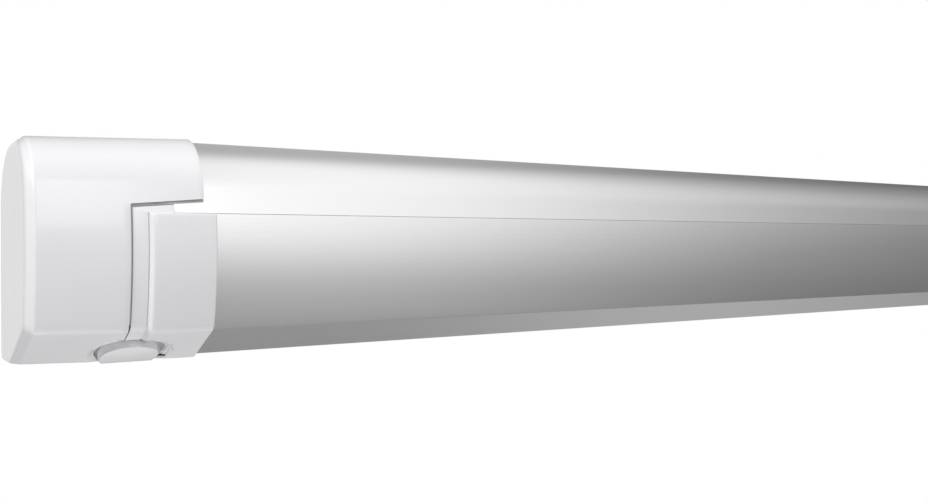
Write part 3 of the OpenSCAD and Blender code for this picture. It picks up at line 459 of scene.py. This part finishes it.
def hood_edge(x):
    """Height of the hood's lower edge at the station x: it rises towards the middle of the awning."""
    return hood_z + hood_rise * np.clip((seam_x - x) / (seam_x - hood_x), 0, 1)


def spun(centre_y, centre_z, radius, start, stop, count):
    """Rows of points on circles, from the angle start to the angle stop of each row."""
    angle = start + (stop - start) * np.linspace(0, 1, count)
    return np.stack([centre_y + radius * np.cos(angle), centre_z + radius * np.sin(angle)], -1)


def front_fold(inset, radius):
    """Centre and starting angle of the rounded crease of each row."""
    fold = crease_point(inset + radius)
    start = np.arctan2(fold[..., 1] - bulge[1], fold[..., 0] - bulge[0]) % (2 * math.pi)
    return fold[..., 0], fold[..., 1], start


def cap_rows(inset, top_round, lower, grow, sole_in):
    """Closed sections of a cap in Y and Z, one row for each inset: from the skirt over the top, down the
    front, back along the underside and up the back. The hood ends at lower, grow tightens the inner corners,
    and the bottom is set in by sole_in at most."""
    inset, top_round, lower, grow = (np.asarray(v, float)[:, None] for v in (inset, top_round, lower, grow))
    back = cap_back - grow
    high, low_round = case_top - inset, low_corner - grow
    low = case_low - cap_drop + np.minimum(inset, sole_in)
    bend_r, heel_r = crease_r - grow, foot_r - grow

    def level(y, height, corner, way):
        past = np.maximum(y - (back - corner), 0.0)
        drop = corner - np.sqrt(np.maximum(corner**2 - past**2, 0.0))
        return np.stack([y + 0 * height, height - way * drop], -1)

    fold_y, fold_z, fold_a = front_fold(inset, bend_r)
    split = bulge_angle(inset, lower)
    roof = level(np.linspace(skirt_y, roll[0], 12)[None, :], high, top_round, 1)
    over = spun(*roll, top_r - inset, math.pi / 2 + 0 * inset, join, 24)[:, 1:]
    brow = spun(*bulge, bulge_r - inset, join + 0 * inset, split, 8)[:, 1:]
    face = spun(*bulge, bulge_r - inset, split, fold_a, 24)[:, 1:]
    bend = spun(fold_y, fold_z, bend_r, fold_a, slope_down, 10)[:, 1:]
    heel = spun(
        foot_y(inset + heel_r, low - inset), low + heel_r, heel_r, slope_down + 0 * inset, 1.5 * math.pi, 6)
    plane = mixed(bend[:, -1:], heel[:, :1], np.linspace(0, 1, 12)[None, 1:-1, None])
    sole = level(mixed(heel[:, -1:, 0], skirt_y, np.linspace(0, 1, 10)[None, 1:]), low, low_round, -1)
    swing = np.arccos(np.clip((skirt_y - back + top_round) / top_round, -1, 1))
    curl = spun(back - low_round, low + low_round, low_round, -math.pi / 2 + 0 * inset, 0.0, 7)
    crown = spun(back - top_round, high - top_round, top_round, 0 * inset, swing, 9)
    lift = mixed(curl[:, -1:], crown[:, :1], np.linspace(0, 1, 7)[None, 1:-1, None])
    hood = np.concatenate([roof, over, brow], 1)
    front = np.concatenate([hood, face, bend, plane, heel, sole], 1)
    return np.concatenate([front, curl, lift, crown[:, :-1]], 1), hood.shape[1], front.shape[1]


def quads(numbers, closed=False):
    """Four-cornered faces between neighbouring rows of a table of vertex numbers."""
    across = np.concatenate([numbers, numbers[:, :1]], 1) if closed else numbers
    a, b = across[:-1, :-1], across[:-1, 1:]
    return np.stack([a, b, across[1:, 1:], across[1:, :-1]], -1).reshape(-1, 4).tolist()


def thick_skin(name, outer, inner, faces):
    """A closed shell from two skins with the same faces: the inner one is turned over and the rims joined."""
    ways = {(a, b) for f in faces for a, b in zip(f, f[1:] + f[:1])}
    n = len(outer)
    rims = [[b, a, a + n, b + n] for a, b in sorted(ways) if (b, a) not in ways]
    every = faces + [[v + n for v in f[::-1]] for f in faces] + rims
    points = np.vstack([outer, inner])
    used = np.unique(np.concatenate(every))
    renumber = np.zeros(len(points), int)
    renumber[used] = np.arange(len(used))
    return place_mesh(name, points[used], [renumber[f] for f in every])


def cap_shell(name, side):
    """A cap: hood rows, rows open at the back, closed rows, the bevel, and rings that shrink over the end."""
    hood_rows = np.linspace(hood_x, seam_x, 14)
    open_rows = np.linspace(seam_x, open_x, 8)[1:]
    x = np.concatenate([hood_rows, open_rows, np.linspace(open_x, bevel_x - bevel_run, 6)[1:]])
    inset = -proud + taper * (x - hood_x) / (bevel_x - hood_x)
    end_in = taper - proud
    turn_in = eased([
        (x[-1], inset[-1]), (bevel_x, end_in), (bevel_end, end_in + bevel_in),
        (bevel_end + 0.4, end_in + bevel_in + 3.5)], bevel_rounds, 8)[1:]
    x, inset = np.concatenate([x, turn_in[:, 0]]), np.concatenate([inset, turn_in[:, 1]])
    top_round = np.interp(x, [hood_x, bevel_x], [hood_corner, top_corner])
    clear = np.interp(x, [clear_from, clear_to], [0.0, 1.0])
    inset_in = mixed(-cover_gap, inset + cap_t, clear)
    rows, hood_n, front_n = cap_rows(inset, top_round, hood_edge(x), 0 * x, end_in)
    rows_in = cap_rows(inset_in, top_round - cap_t, hood_edge(x), inset_in - inset, end_in + cap_t)[0]
    share = np.array([0.97, 0.92, 0.84, 0.72, 0.57, 0.4, 0.22, 0.08])

    def skin(loops, stations, swell):
        middle = loops[-1].mean(0)
        yz = np.concatenate([loops, middle + (loops[-1] - middle) * share[:, None, None]])
        along = np.concatenate([stations, mixed(stations[-1], stations[-1] + swell, 1 - share**2)])
        rearward = np.clip((yz[..., 0] - bulge[0] + bulge_r) / (cap_back - bulge[0] + bulge_r), 0, 1)
        start = np.clip((along - open_x) / (bevel_x - lean_run - open_x), 0, 1)[:, None]
        leant = lean_out * start * rearward
        return np.concatenate([side * (along[:, None] + leant)[..., None], yz], -1).reshape(-1, 3)

    table = np.arange((len(x) + len(share)) * rows.shape[1]).reshape(-1, rows.shape[1])
    n_hood, n_open = len(hood_rows), len(hood_rows) + len(open_rows)
    faces = quads(table[:n_hood, :hood_n]) + quads(table[n_hood - 1:n_open, :front_n])
    faces += quads(table[n_open - 1:], closed=True) + [table[-1].tolist()]
    faces = faces if side > 0 else [f[::-1] for f in faces]
    x_in = np.minimum(x, bevel_end - cap_t)
    return thick_skin(name, skin(rows, x, dome), skin(rows_in, x_in + 0.1 * (x - x_in), dome), faces)


# The pocket and the hub share one leaning axis, square to the sloping underside.
hub_point = np.array([886.0, -55.0, -64.7])
hub_axis = np.array([0.0, -math.sin(bevel), -math.cos(bevel)])


def turned(name, outline, centre, axis, count=96):
    """A closed piece turned about an axis: outline gives the radius and the distance along the axis."""
    outline = np.asarray(outline, float)[:, None, :]
    across = np.array([1.0, 0.0, 0.0])
    third = np.cross(axis, across)
    angle = np.linspace(0, 2 * math.pi, count, endpoint=False)[None, :, None]
    ring = np.cos(angle) * across + np.sin(angle) * third
    points = np.asarray(centre) + outline[..., :1] * ring + outline[..., 1:] * np.asarray(axis)
    numbers = np.arange(points.shape[0] * count).reshape(-1, count)
    faces = quads(numbers, closed=True) + [numbers[0].tolist()[::-1], numbers[-1].tolist()]
    piece = place_mesh(name, points.reshape(-1, 3), faces)
    outward(piece)
    return piece


def settle(piece, soft_angle=35.0):
    """Applies the piece's modifiers to its mesh."""
    bpy.context.view_layer.update()
    made = bpy.data.meshes.new_from_object(piece.evaluated_get(bpy.context.evaluated_depsgraph_get()))
    piece.modifiers.clear()
    piece.data = made
    made.shade_smooth()
    made.set_sharp_from_angle(angle=math.radians(soft_angle))


def cut_away(piece, tool, operation="DIFFERENCE"):
    """Takes the solid tool away from a piece, or with INTERSECT keeps only what lies inside the tool."""
    cut = piece.modifiers.new("cut", "BOOLEAN")
    cut.operation, cut.solver, cut.object, cut.material_mode = operation, "EXACT", tool, "TRANSFER"
    settle(piece)
    bpy.data.objects.remove(tool)


def box_tool(side, y, z, x):
    """A box at one end of the awning: its limits in Y, in Z, and in X away from the middle."""
    loop = np.array([(y[0], z[0]), (y[1], z[0]), (y[1], z[1]), (y[0], z[1])], float)
    return drawn_bar("box_tool", [loop], sorted([side * x[0], side * x[1]]))


tool_front, tool_back, tool_near, tool_far = -100.0, -10.0, 840.0, 940.0
tool_z, tool_tall = (-90.0, -20.0), 20.0


def below(side, level):
    """A box under the end of the case with its top at this level."""
    return box_tool(side, (tool_front, tool_back), (level - tool_tall, level), (tool_near, tool_far))


# The pocket's radii, and its depths along the axis from the hub's point: wall, flared rim, and the mouths
# that are cut into the end cap and into the rail cap.
cup_r, cup_out_r, cup_rim, cup_floor, cup_t, shaft_r = 20.4, 21.6, -4.4, -12.0, 1.0, 9.0
cup_split_y, split_gap, flare_back_y, flare_x = -57.0, 0.4, -50.0, 880.8
flare_outline = [(26.6, -1.45), (26.6, -2.6), (22.6, -4.9), (20.45, -4.9)]
flare_hollow = [(27.0, -0.5), (25.4, -1.42), (22.7, -1.52), (21.3, -3.9), (20.45, -4.3), (20.45, -5.5)]
cap_mouth_r, lead_mouth_r, cap_ease, lead_ease = 27.5, 25.4, 0.5, 0.35


def pocket_wall(name, side, with_rail):
    """The wall round the pocket behind the shells: its front quarter beside the hub moves with the rail."""
    point = hub_point * (side, 1, 1)
    cup = turned(name, [(cup_out_r, cup_rim), (cup_out_r, cup_floor - cup_t)], point, hub_axis)
    hollow = [(cup_r, 1.0), (cup_r, cup_floor), (shaft_r, cup_floor), (shaft_r, cup_floor - 2 * cup_t)]
    cut_away(cup, turned("cup_cutter", hollow, point, hub_axis))
    cut_away(cup, below(side, case_low))
    quarter = box_tool(side, (tool_front, cup_split_y), tool_z, (tool_near, seam_x - split_gap))
    cut_away(cup, quarter, "INTERSECT" if with_rail else "DIFFERENCE")
    return cup


def pocket_flare(name, side):
    """The flared rim of the pocket beside the hub, from the rail cap's panel in to the pocket's wall."""
    point = hub_point * (side, 1, 1)
    flare = turned(name, flare_outline, point, hub_axis)
    cut_away(flare, turned("rim_cutter", flare_hollow, point, hub_axis))
    cut_away(flare, below(side, case_low))
    cut_away(flare, box_tool(side, (tool_front, flare_back_y), tool_z, (tool_near, flare_x)), "INTERSECT")
    return flare


def moulded(piece, side, soft, mouth_r):
    """Cuts the flared pocket for the crank hub into a shell and eases its edges."""
    pocket = [(mouth_r + 6.5, 4.5), (mouth_r, 0.0), (mouth_r - 2.3, -1.6), (21.0, -4.3), (20.6, -12.0)]
    cut_away(piece, turned("pocket_cutter", pocket, hub_point * (side, 1, 1), hub_axis))
    ease = piece.modifiers.new("eased_edges", "BEVEL")
    ease.width, ease.segments = soft * 0.001, 2
    ease.limit_method, ease.angle_limit = "ANGLE", math.radians(40)
    settle(piece)
    return piece


def hood_rebate(side):
    """A cutter along the hood's lower edge. Its inner wall follows the front, deeper away from the middle."""
    x = np.linspace(hood_x - 3.0, seam_x - 0.05, 24)
    depth = np.interp(x, rebate_x, rebate_in)[:, None]
    z = hood_edge(x)[:, None] + np.array([rebate, rebate, -1.0, -1.0])
    inset = depth + np.array([0.0, -9.0, -9.0, 0.0])
    y = bulge[0] + (bulge_r - inset) * np.cos(bulge_angle(inset, z))
    points = np.stack([side * x[:, None] + 0 * z, y, z], -1)
    numbers = np.arange(points.shape[0] * 4).reshape(-1, 4)
    ends = [numbers[0].tolist(), numbers[-1].tolist()]
    cutter = place_mesh("rebate_cutter", points.reshape(-1, 3), quads(numbers, closed=True) + ends)
    outward(cutter)
    # The cutter's faces pass their material to the cap, so the rebate under the hood's edge is painted grey
    # shade.
    cutter.data.materials.append(rebate_shade_finish)
    return cutter


# Gloss white moulding plastic: a faint flow pattern, a very fine grain, and slight scuffing in the gloss.
moulding, moulding_shader, moulding_place = new_finish(
    "white_moulding", IOR=1.55, Coat_Weight=1.0, Coat_Roughness=0.16)
flow = moulding_place.noise(9.0, 3.0)
speck = moulding_place.noise(900.0, 2.0)
scuff = moulding_place.stretched(30.0, 160.0, 160.0).noise(1.0, 5.0, 0.7)
flow.step(0.3, 0.7).tint((0.822, 0.822, 0.842), (0.862, 0.862, 0.88)).into(moulding_shader, "Base Color")
(0.26 + 0.1 * scuff + 0.04 * speck).into(moulding_shader, "Roughness")
(0.5 * speck + 0.5 * scuff).relief(0.05, 0.0001).into(moulding_shader, "Normal")

# Under the hood's edge the plastic is matt and painted grey: painted shade for the dark line along the
# rebate, with faint streaks in it.
rebate_shade_finish, rebate_shade_shader, rebate_shade_place = new_finish("painted_shade_moulding")
shade_streaks = rebate_shade_place.stretched(60.0, 300.0, 300.0).noise(1.0, 4.0, 0.6)
shade_streaks.step(0.25, 0.75).tint((0.50, 0.50, 0.51), (0.62, 0.62, 0.63)).into(rebate_shade_shader, "Base Color")
(0.6 + 0.2 * shade_streaks).into(rebate_shade_shader, "Roughness")

# Behind the gap beside the lead rail each cap has a return wall, moulded with it.
return_x = np.array([868.0, 880.0, 888.5, 897.0])
return_z = np.array([31.5, 25.0, 19.0, 5.0, -10.0, -24.0, -36.0, -40.0, -43.0])
return_in, return_t = np.interp(return_z, [-43.0, -40.0, -36.0], [3.0, 2.3, 2.1])[:, None], 1.8


def return_wall(name, side):
    """An angled wall that follows the front: a patch below the hood and one behind the upright gap."""
    def skin(inset):
        x, z = np.meshgrid(return_x, return_z)
        y = bulge[0] + (bulge_r - inset) * np.cos(bulge_angle(inset, z))
        return np.stack([side * x, y, z], -1).reshape(-1, 3)

    table = np.arange(len(return_x) * len(return_z)).reshape(len(return_z), -1)
    faces = quads(table[:3]) + quads(table[2:, 2:])
    faces = faces if side < 0 else [f[::-1] for f in faces]
    piece = thick_skin(name, skin(return_in), skin(return_in + return_t), faces)
    outward(piece)
    return piece


for side, word in ((-1, "left"), (1, "right")):
    cap = moulded(cap_shell(f"cap_shell_{word}", side), side, cap_ease, cap_mouth_r)
    dress(cap, moulding, "cassette", f"end_cap_{word}", slot="cap")
    # The rebate is cut along the hood's lower edge, and its faces carry the painted grey shade.
    cut_away(cap, hood_rebate(side))
    dress(return_wall(f"cap_return_{word}", side), moulding, "cassette", slot="cap")
    dress(pocket_wall(f"cap_pocket_{word}", side, False), moulding, "cassette", slot="cap")

# Lead rail caps: white mouldings over the ends of the lead rail. A raised panel with a sloping edge
# stands beside a narrow strip that is set back, and a plate behind it closes the rail.
panel_x, ridge_x, strip_x, lead_in_x = 881.6, 883.6, 892.8, 845.8
step_x, rail_end_x = 870.08, 863.28
strip_in, panel_in, lead_t, lead_t_out = 0.45, -2.0, 1.7, 1.35
hood_gap, panel_top, ledge_top, face_end, lead_heel_r = 0.35, 21.0, 21.24, -36.0, 2.0
dip_deep, dip_at, dip_wide = 0.9, 0.35, 0.33


def lead_rows(inset, z, grow):
    """Rows of a rail cap in Y and Z, set in by inset and by grow: front, bend, slope and sole."""
    grow = grow[:, None]
    inset = inset + grow
    angle = bulge_angle(inset, z)
    front = np.stack([bulge[0] + (bulge_r - inset) * np.cos(angle), z + 0 * inset], -1)
    low, bend_r, heel_r = inset[:, -1:], crease_r - grow, lead_heel_r + grow
    fold_y, fold_z, fold_a = front_fold(low, bend_r)
    bend = spun(fold_y, fold_z, bend_r, fold_a, slope_down, 12)
    heel_z = case_low + low + heel_r
    heel = spun(foot_y(low + heel_r), heel_z, heel_r, slope_down + 0 * low, 1.5 * math.pi, 5)
    reach = (roll[0] - bend[:, -1:, 0]) / (heel[:, :1, 0] - bend[:, -1:, 0])
    plane_a = mixed(bend[:, -1:], heel[:, :1], (reach * np.linspace(0, 1, 10)[1:])[..., None])
    plane_b = mixed(plane_a[:, -1:], heel[:, :1], np.linspace(0, 1, 4)[None, 1:-1, None])
    sole_y = mixed(heel[:, -1:, 0], chan_back + 0.2, np.linspace(0, 1, 7)[None, 1:])
    sole = np.stack([sole_y, 0 * sole_y + heel[:, -1:, 1]], -1)
    short = front.shape[1] + bend.shape[1] + plane_a.shape[1]
    return np.concatenate([front, bend, plane_a, plane_b, heel, sole], 1), short


def lead_shell(name, side):
    """A rail cap: its inset follows strip, groove, ridge and panel along X, and the panel's rounded top."""
    x = np.concatenate([
        np.linspace(strip_x, ridge_x + 0.9, 5), ridge_x + np.array([0.75, 0.6, 0.45, 0.35, 0.25, 0.12]),
        mixed(ridge_x, panel_x, np.linspace(0, 1, 9)), np.linspace(panel_x, step_x, 8)[1:],
        [868.0, 866.0, rail_end_x], np.linspace(rail_end_x, lead_in_x + 1.0, 7)[1:],
        lead_in_x + np.array([0.6, 0.25, 0.0])])
    rise = np.clip((ridge_x - x) / (ridge_x - panel_x), 0, 1)
    rise = np.where(rise < 0.85, rise / 0.94, 1 - (1 - rise) ** 2 / 0.24)
    dip = dip_deep * np.exp(-((x - ridge_x - dip_at) / dip_wide) ** 2)
    end = np.interp(x, lead_in_x + np.array([0.0, 0.25, 0.6, 1.0]), [0.25, 0.1, 0.02, 0.0])
    along = rise * (1 - end)
    edge_z = np.array([ledge_top, 21.16, 21.08, panel_top, 20.85, 20.5, 20.0])
    face_z = np.linspace(edge_z[-1], face_end, 26)[1:]
    z = np.broadcast_to(np.concatenate([edge_z, face_z]), (len(x), len(edge_z) + len(face_z)))
    z = np.concatenate([(hood_edge(x) - hood_gap)[:, None], z], 1)
    up = np.concatenate([[0, 0, 0, 0, 0.35, 0.75, 0.95, 1.0], np.ones(len(face_z))])
    base = (strip_in + taper * (x - strip_x) / (bevel_x - hood_x))[:, None]
    smooth = base - (base - panel_in) * along[:, None] * up
    yz, short = lead_rows(smooth + dip[:, None] * up, z, 0 * x)
    yz_in, short = lead_rows(smooth, z, np.where(x > rail_end_x + 3, lead_t_out, lead_t))
    columns = yz.shape[1]
    station = side * np.repeat(x, columns)[:, None]
    table = np.arange(len(x) * columns).reshape(-1, columns)
    step, rail = (int(np.argmin(np.abs(x - place))) for place in (step_x, rail_end_x))
    faces = quads(table[:step + 1, :short]) + quads(table[step:rail + 1, 1:]) + quads(table[rail:, 4:])
    faces = faces if side < 0 else [f[::-1] for f in faces]
    outer, inner = np.hstack([station, yz.reshape(-1, 2)]), np.hstack([station, yz_in.reshape(-1, 2)])
    return thick_skin(name, outer, inner, faces)


end_x, plate_t, plate_in, plate_top, plate_deep = rail_half + 0.2, 2.0, 0.9, 20.4, 6.0
plate_low, plate_back = case_low + plate_in, chan_back - 0.2
plate_front = arc(bulge, bulge_r - plate_in, bulge_angle(plate_in, plate_top), crease_angle(plate_in), 30)
plate_loop = np.vstack([plate_front, [
    (foot_y(plate_in), plate_low), (plate_back, plate_low), (plate_back, web_top),
    (crease[0] + plate_deep, web_top), (crease[0] + plate_deep, plate_top)]])
for side, word in ((-1, "left"), (1, "right")):
    lead_cap = moulded(lead_shell(f"lead_shell_{word}", side), side, lead_ease, lead_mouth_r)
    dress(lead_cap, moulding, "lead_rail", f"lead_cap_{word}", slot="cap")
    plate = drawn_bar(f"lead_plate_{word}", [plate_loop], sorted([side * end_x, side * (end_x + plate_t)]))
    dress(plate, moulding, "lead_rail", slot="cap")
    dress(pocket_flare(f"lead_flare_{word}", side), moulding, "lead_rail", slot="cap")
    dress(pocket_wall(f"lead_pocket_{word}", side, True), moulding, "lead_rail", slot="cap")

# Crank hub: a white moulded button sits in the pocket, and its flat face leans with the underside.
# Behind it a boss turns with the crank's shaft. The same button, without a boss, closes the pocket at
# the right end.
button_point = np.array([887.5, -58.4, -64.45])
button_outline = [
    (16.2, 0.0), (16.5, -0.08), (16.75, -0.3), (16.95, -0.7),
    (17.1, -1.6), (17.2, -4.0), (17.2, -6.4), (16.2, -7.2)]
button_foot = -67.9


def hub_button(name, side):
    """A button turned about the leaning axis and cut level just below the bottom of the case."""
    button = turned(name, button_outline, button_point * (side, 1, 1), hub_axis, 128)
    cut_away(button, below(side, button_foot))
    return button


boss_at, down = np.array([-890.7, -54.414, -48.0]), np.array([0.0, 0.0, -1.0])
boss_outline = [(8.0, 0.0), (9.0, 0.6), (9.0, 2.6), (8.4, 3.2)]
boss = turned("crank_boss", boss_outline, boss_at, down, 64)
dress(boss, moulding, "crank", "crank_hub", slot="cap")
dress(hub_button("hub_button", -1), moulding, "cassette", slot="cap")
plug = hub_button("plug_button", 1)
dress(plug, moulding, "cassette", "blank_plug", slot="cap")

# Roller tube and wound cloth: the cloth is wound on an aluminium tube in eight turns, as one spiral,
# and the tube turns as the awning opens.
cloth_half = 1000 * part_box("fabric_roll")[1][0]
tube_r, wound_r, turns = 25.3, 29.9, 8.0
reach_m = 1.367932
lead_turn = math.radians(276.0)


def cloth_sheet(name, line, along, columns):
    """A sheet across the width: line gives Y and Z, and along the metres along the cloth, for its UV map."""
    x = np.linspace(-cloth_half, cloth_half, columns)
    points = np.concatenate([
        np.broadcast_to(x[None, :, None], (len(line), columns, 1)),
        np.broadcast_to(line[:, None, :], (len(line), columns, 2))], 2).reshape(-1, 3)
    piece = place_mesh(name, points, quads(np.arange(len(points)).reshape(len(line), columns)), 60.0)
    corner = np.empty(len(piece.data.loops), int)
    piece.data.loops.foreach_get("vertex_index", corner)
    flat = np.stack([np.tile(x * 0.001, len(line)), np.repeat(along, columns)], 1)
    layer = piece.data.uv_layers.new(name="cloth")
    layer.uv.foreach_set("vector", flat[corner].ravel().astype(np.float32))
    return piece


# Woven cloth: warp and weft threads a little over a millimetre apart, with slubs and slow shading.
woven, woven_shader, woven_place = new_finish("woven_cloth", Sheen_Weight=0.15)
spread = woven_place.make("UVMap", {"uv_map": "cloth"})
thread_rate = 2600.0
warp, weft = spread.part(0).wave(thread_rate), spread.part(1).wave(thread_rate)
slub = spread.stretched(6.0, 700.0, 1.0).noise(1.0, 3.0)
patch = spread.noise(2.2, 2.0)
shade = 0.5 * slub + 0.3 * patch + 0.1 * warp * weft + 0.1
shade.step(0.2, 0.8).tint((0.20, 0.235, 0.27), (0.29, 0.33, 0.37)).into(woven_shader, "Base Color")
(0.78 + 0.14 * slub).into(woven_shader, "Roughness")
(warp * weft * 0.5 + slub).relief(0.15, 0.0003).into(woven_shader, "Normal")

wind = np.linspace(0.0, turns * 2 * math.pi, int(turns * 60))
wind_r = mixed(tube_r, wound_r, wind / wind[-1])
wind_a = lead_turn + wind[-1] - wind
spiral = roll + wind_r[:, None] * np.stack([np.cos(wind_a), np.sin(wind_a)], 1)
wound_len = float((wind_r * (wind[1] - wind[0])).sum() * 0.001)
wound = cloth_sheet("wound_cloth", spiral, np.linspace(-wound_len, 0.0, len(wind)), 9)
dress(wound, woven, "roller", "fabric_roll", slot="fabric")

# Cloth front: it leaves the underside of the roll and ends in a round bead that slides into the groove
# of the lead rail.
wrap_r, bead_r = 30.4, 2.7
leave = math.radians(233.5)
hug = arc(roll, wrap_r, lead_turn, leave, 400)
straight = mixed(hug[-1], bead, np.linspace(0, 1, 200)[1:, None])
course = np.vstack([hug, straight])
ahead = course[-1] - course[0]
share = (course - course[0]) @ ahead / (ahead @ ahead)
weight = np.linspace(0.0, 1.0, 161)
line = np.stack([np.interp(weight, share**2 * (3 - 2 * share), course[:, k]) for k in (0, 1)], 1)
strip = cloth_sheet("cloth_front", line, weight * reach_m, 61)
strip.data.materials.append(woven)
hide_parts("fabric")
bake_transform(strip)
bead_sides = 36
bead_loop = arc(bead, bead_r, 0, 2 * math.pi * (bead_sides - 1) / bead_sides, bead_sides)
welt = drawn_bar("cloth_bead", [bead_loop], [-cloth_half, cloth_half])
dress(welt, woven, "fabric_front", slot="fabric")

# Inside fittings: castings for the joints, zinc plated screws and pins, black drive housings, and seals.
# Each keeps its shape from the frame and takes a finish that varies over its surface.


def fitting_finish(name, dark, light, rough, metal, grain, depth, streak=(1, 1, 1)):
    """A finish whose colour moves from dark to light, and whose gloss and relief follow the same grain."""
    finish, shader, place = new_finish(name, Metallic=metal)
    coarse = place.stretched(*streak).noise(grain, 4.0, 0.6)
    broad = place.noise(grain * 0.06, 2.0)
    mix = 0.6 * coarse + 0.4 * broad
    mix.step(0.25, 0.75).tint(dark, light).into(shader, "Base Color")
    (rough - 0.08 + 0.16 * coarse).into(shader, "Roughness")
    coarse.relief(0.3, depth).into(shader, "Normal")
    return finish


# For each slot: the finish's name, its dark and light colour, roughness, metal, grains in a metre, depth
# of the relief in metres, and for a drawn surface how much finer the grain is along each axis.
fittings = {
    "rubber": ("seal_rubber", (0.022, 0.022, 0.023), (0.045, 0.045, 0.046), 0.72, 0.0, 700.0, 0.0002),
    "bracket": (
        "mill_aluminium", (0.56, 0.57, 0.58), (0.72, 0.73, 0.74), 0.42, 1.0, 60.0, 0.0001, (2.0, 18.0, 18.0)),
    "steel": ("zinc_plate", (0.50, 0.51, 0.52), (0.66, 0.66, 0.65), 0.34, 1.0, 240.0, 0.00008),
    "casting": ("cast_aluminium", (0.40, 0.41, 0.42), (0.52, 0.53, 0.54), 0.5, 0.9, 520.0, 0.0003),
    "drive": ("black_moulding", (0.020, 0.020, 0.022), (0.036, 0.036, 0.038), 0.45, 0.0, 800.0, 0.00012),
    "brass": ("cut_brass", (0.62, 0.44, 0.17), (0.78, 0.59, 0.27), 0.32, 1.0, 260.0, 0.0001),
    "arm": ("powder_coat", (0.60, 0.61, 0.62), (0.68, 0.69, 0.70), 0.42, 0.0, 1100.0, 0.00015),
    "lever": ("lever_moulding", (0.70, 0.20, 0.02), (0.82, 0.27, 0.04), 0.4, 0.0, 800.0, 0.0001),
}
slot_finish = {slot: fitting_finish(*row) for slot, row in fittings.items()}
slot_finish.update(case=drawn, cap=moulding)
for subpart in frame["record"]["subparts"]:
    fitting = frame["nodes"][subpart["node"]]
    if not fitting.hide_render and subpart["material_slot"] in slot_finish:
        for holder in fitting.material_slots:
            holder.material = slot_finish[subpart["material_slot"]]
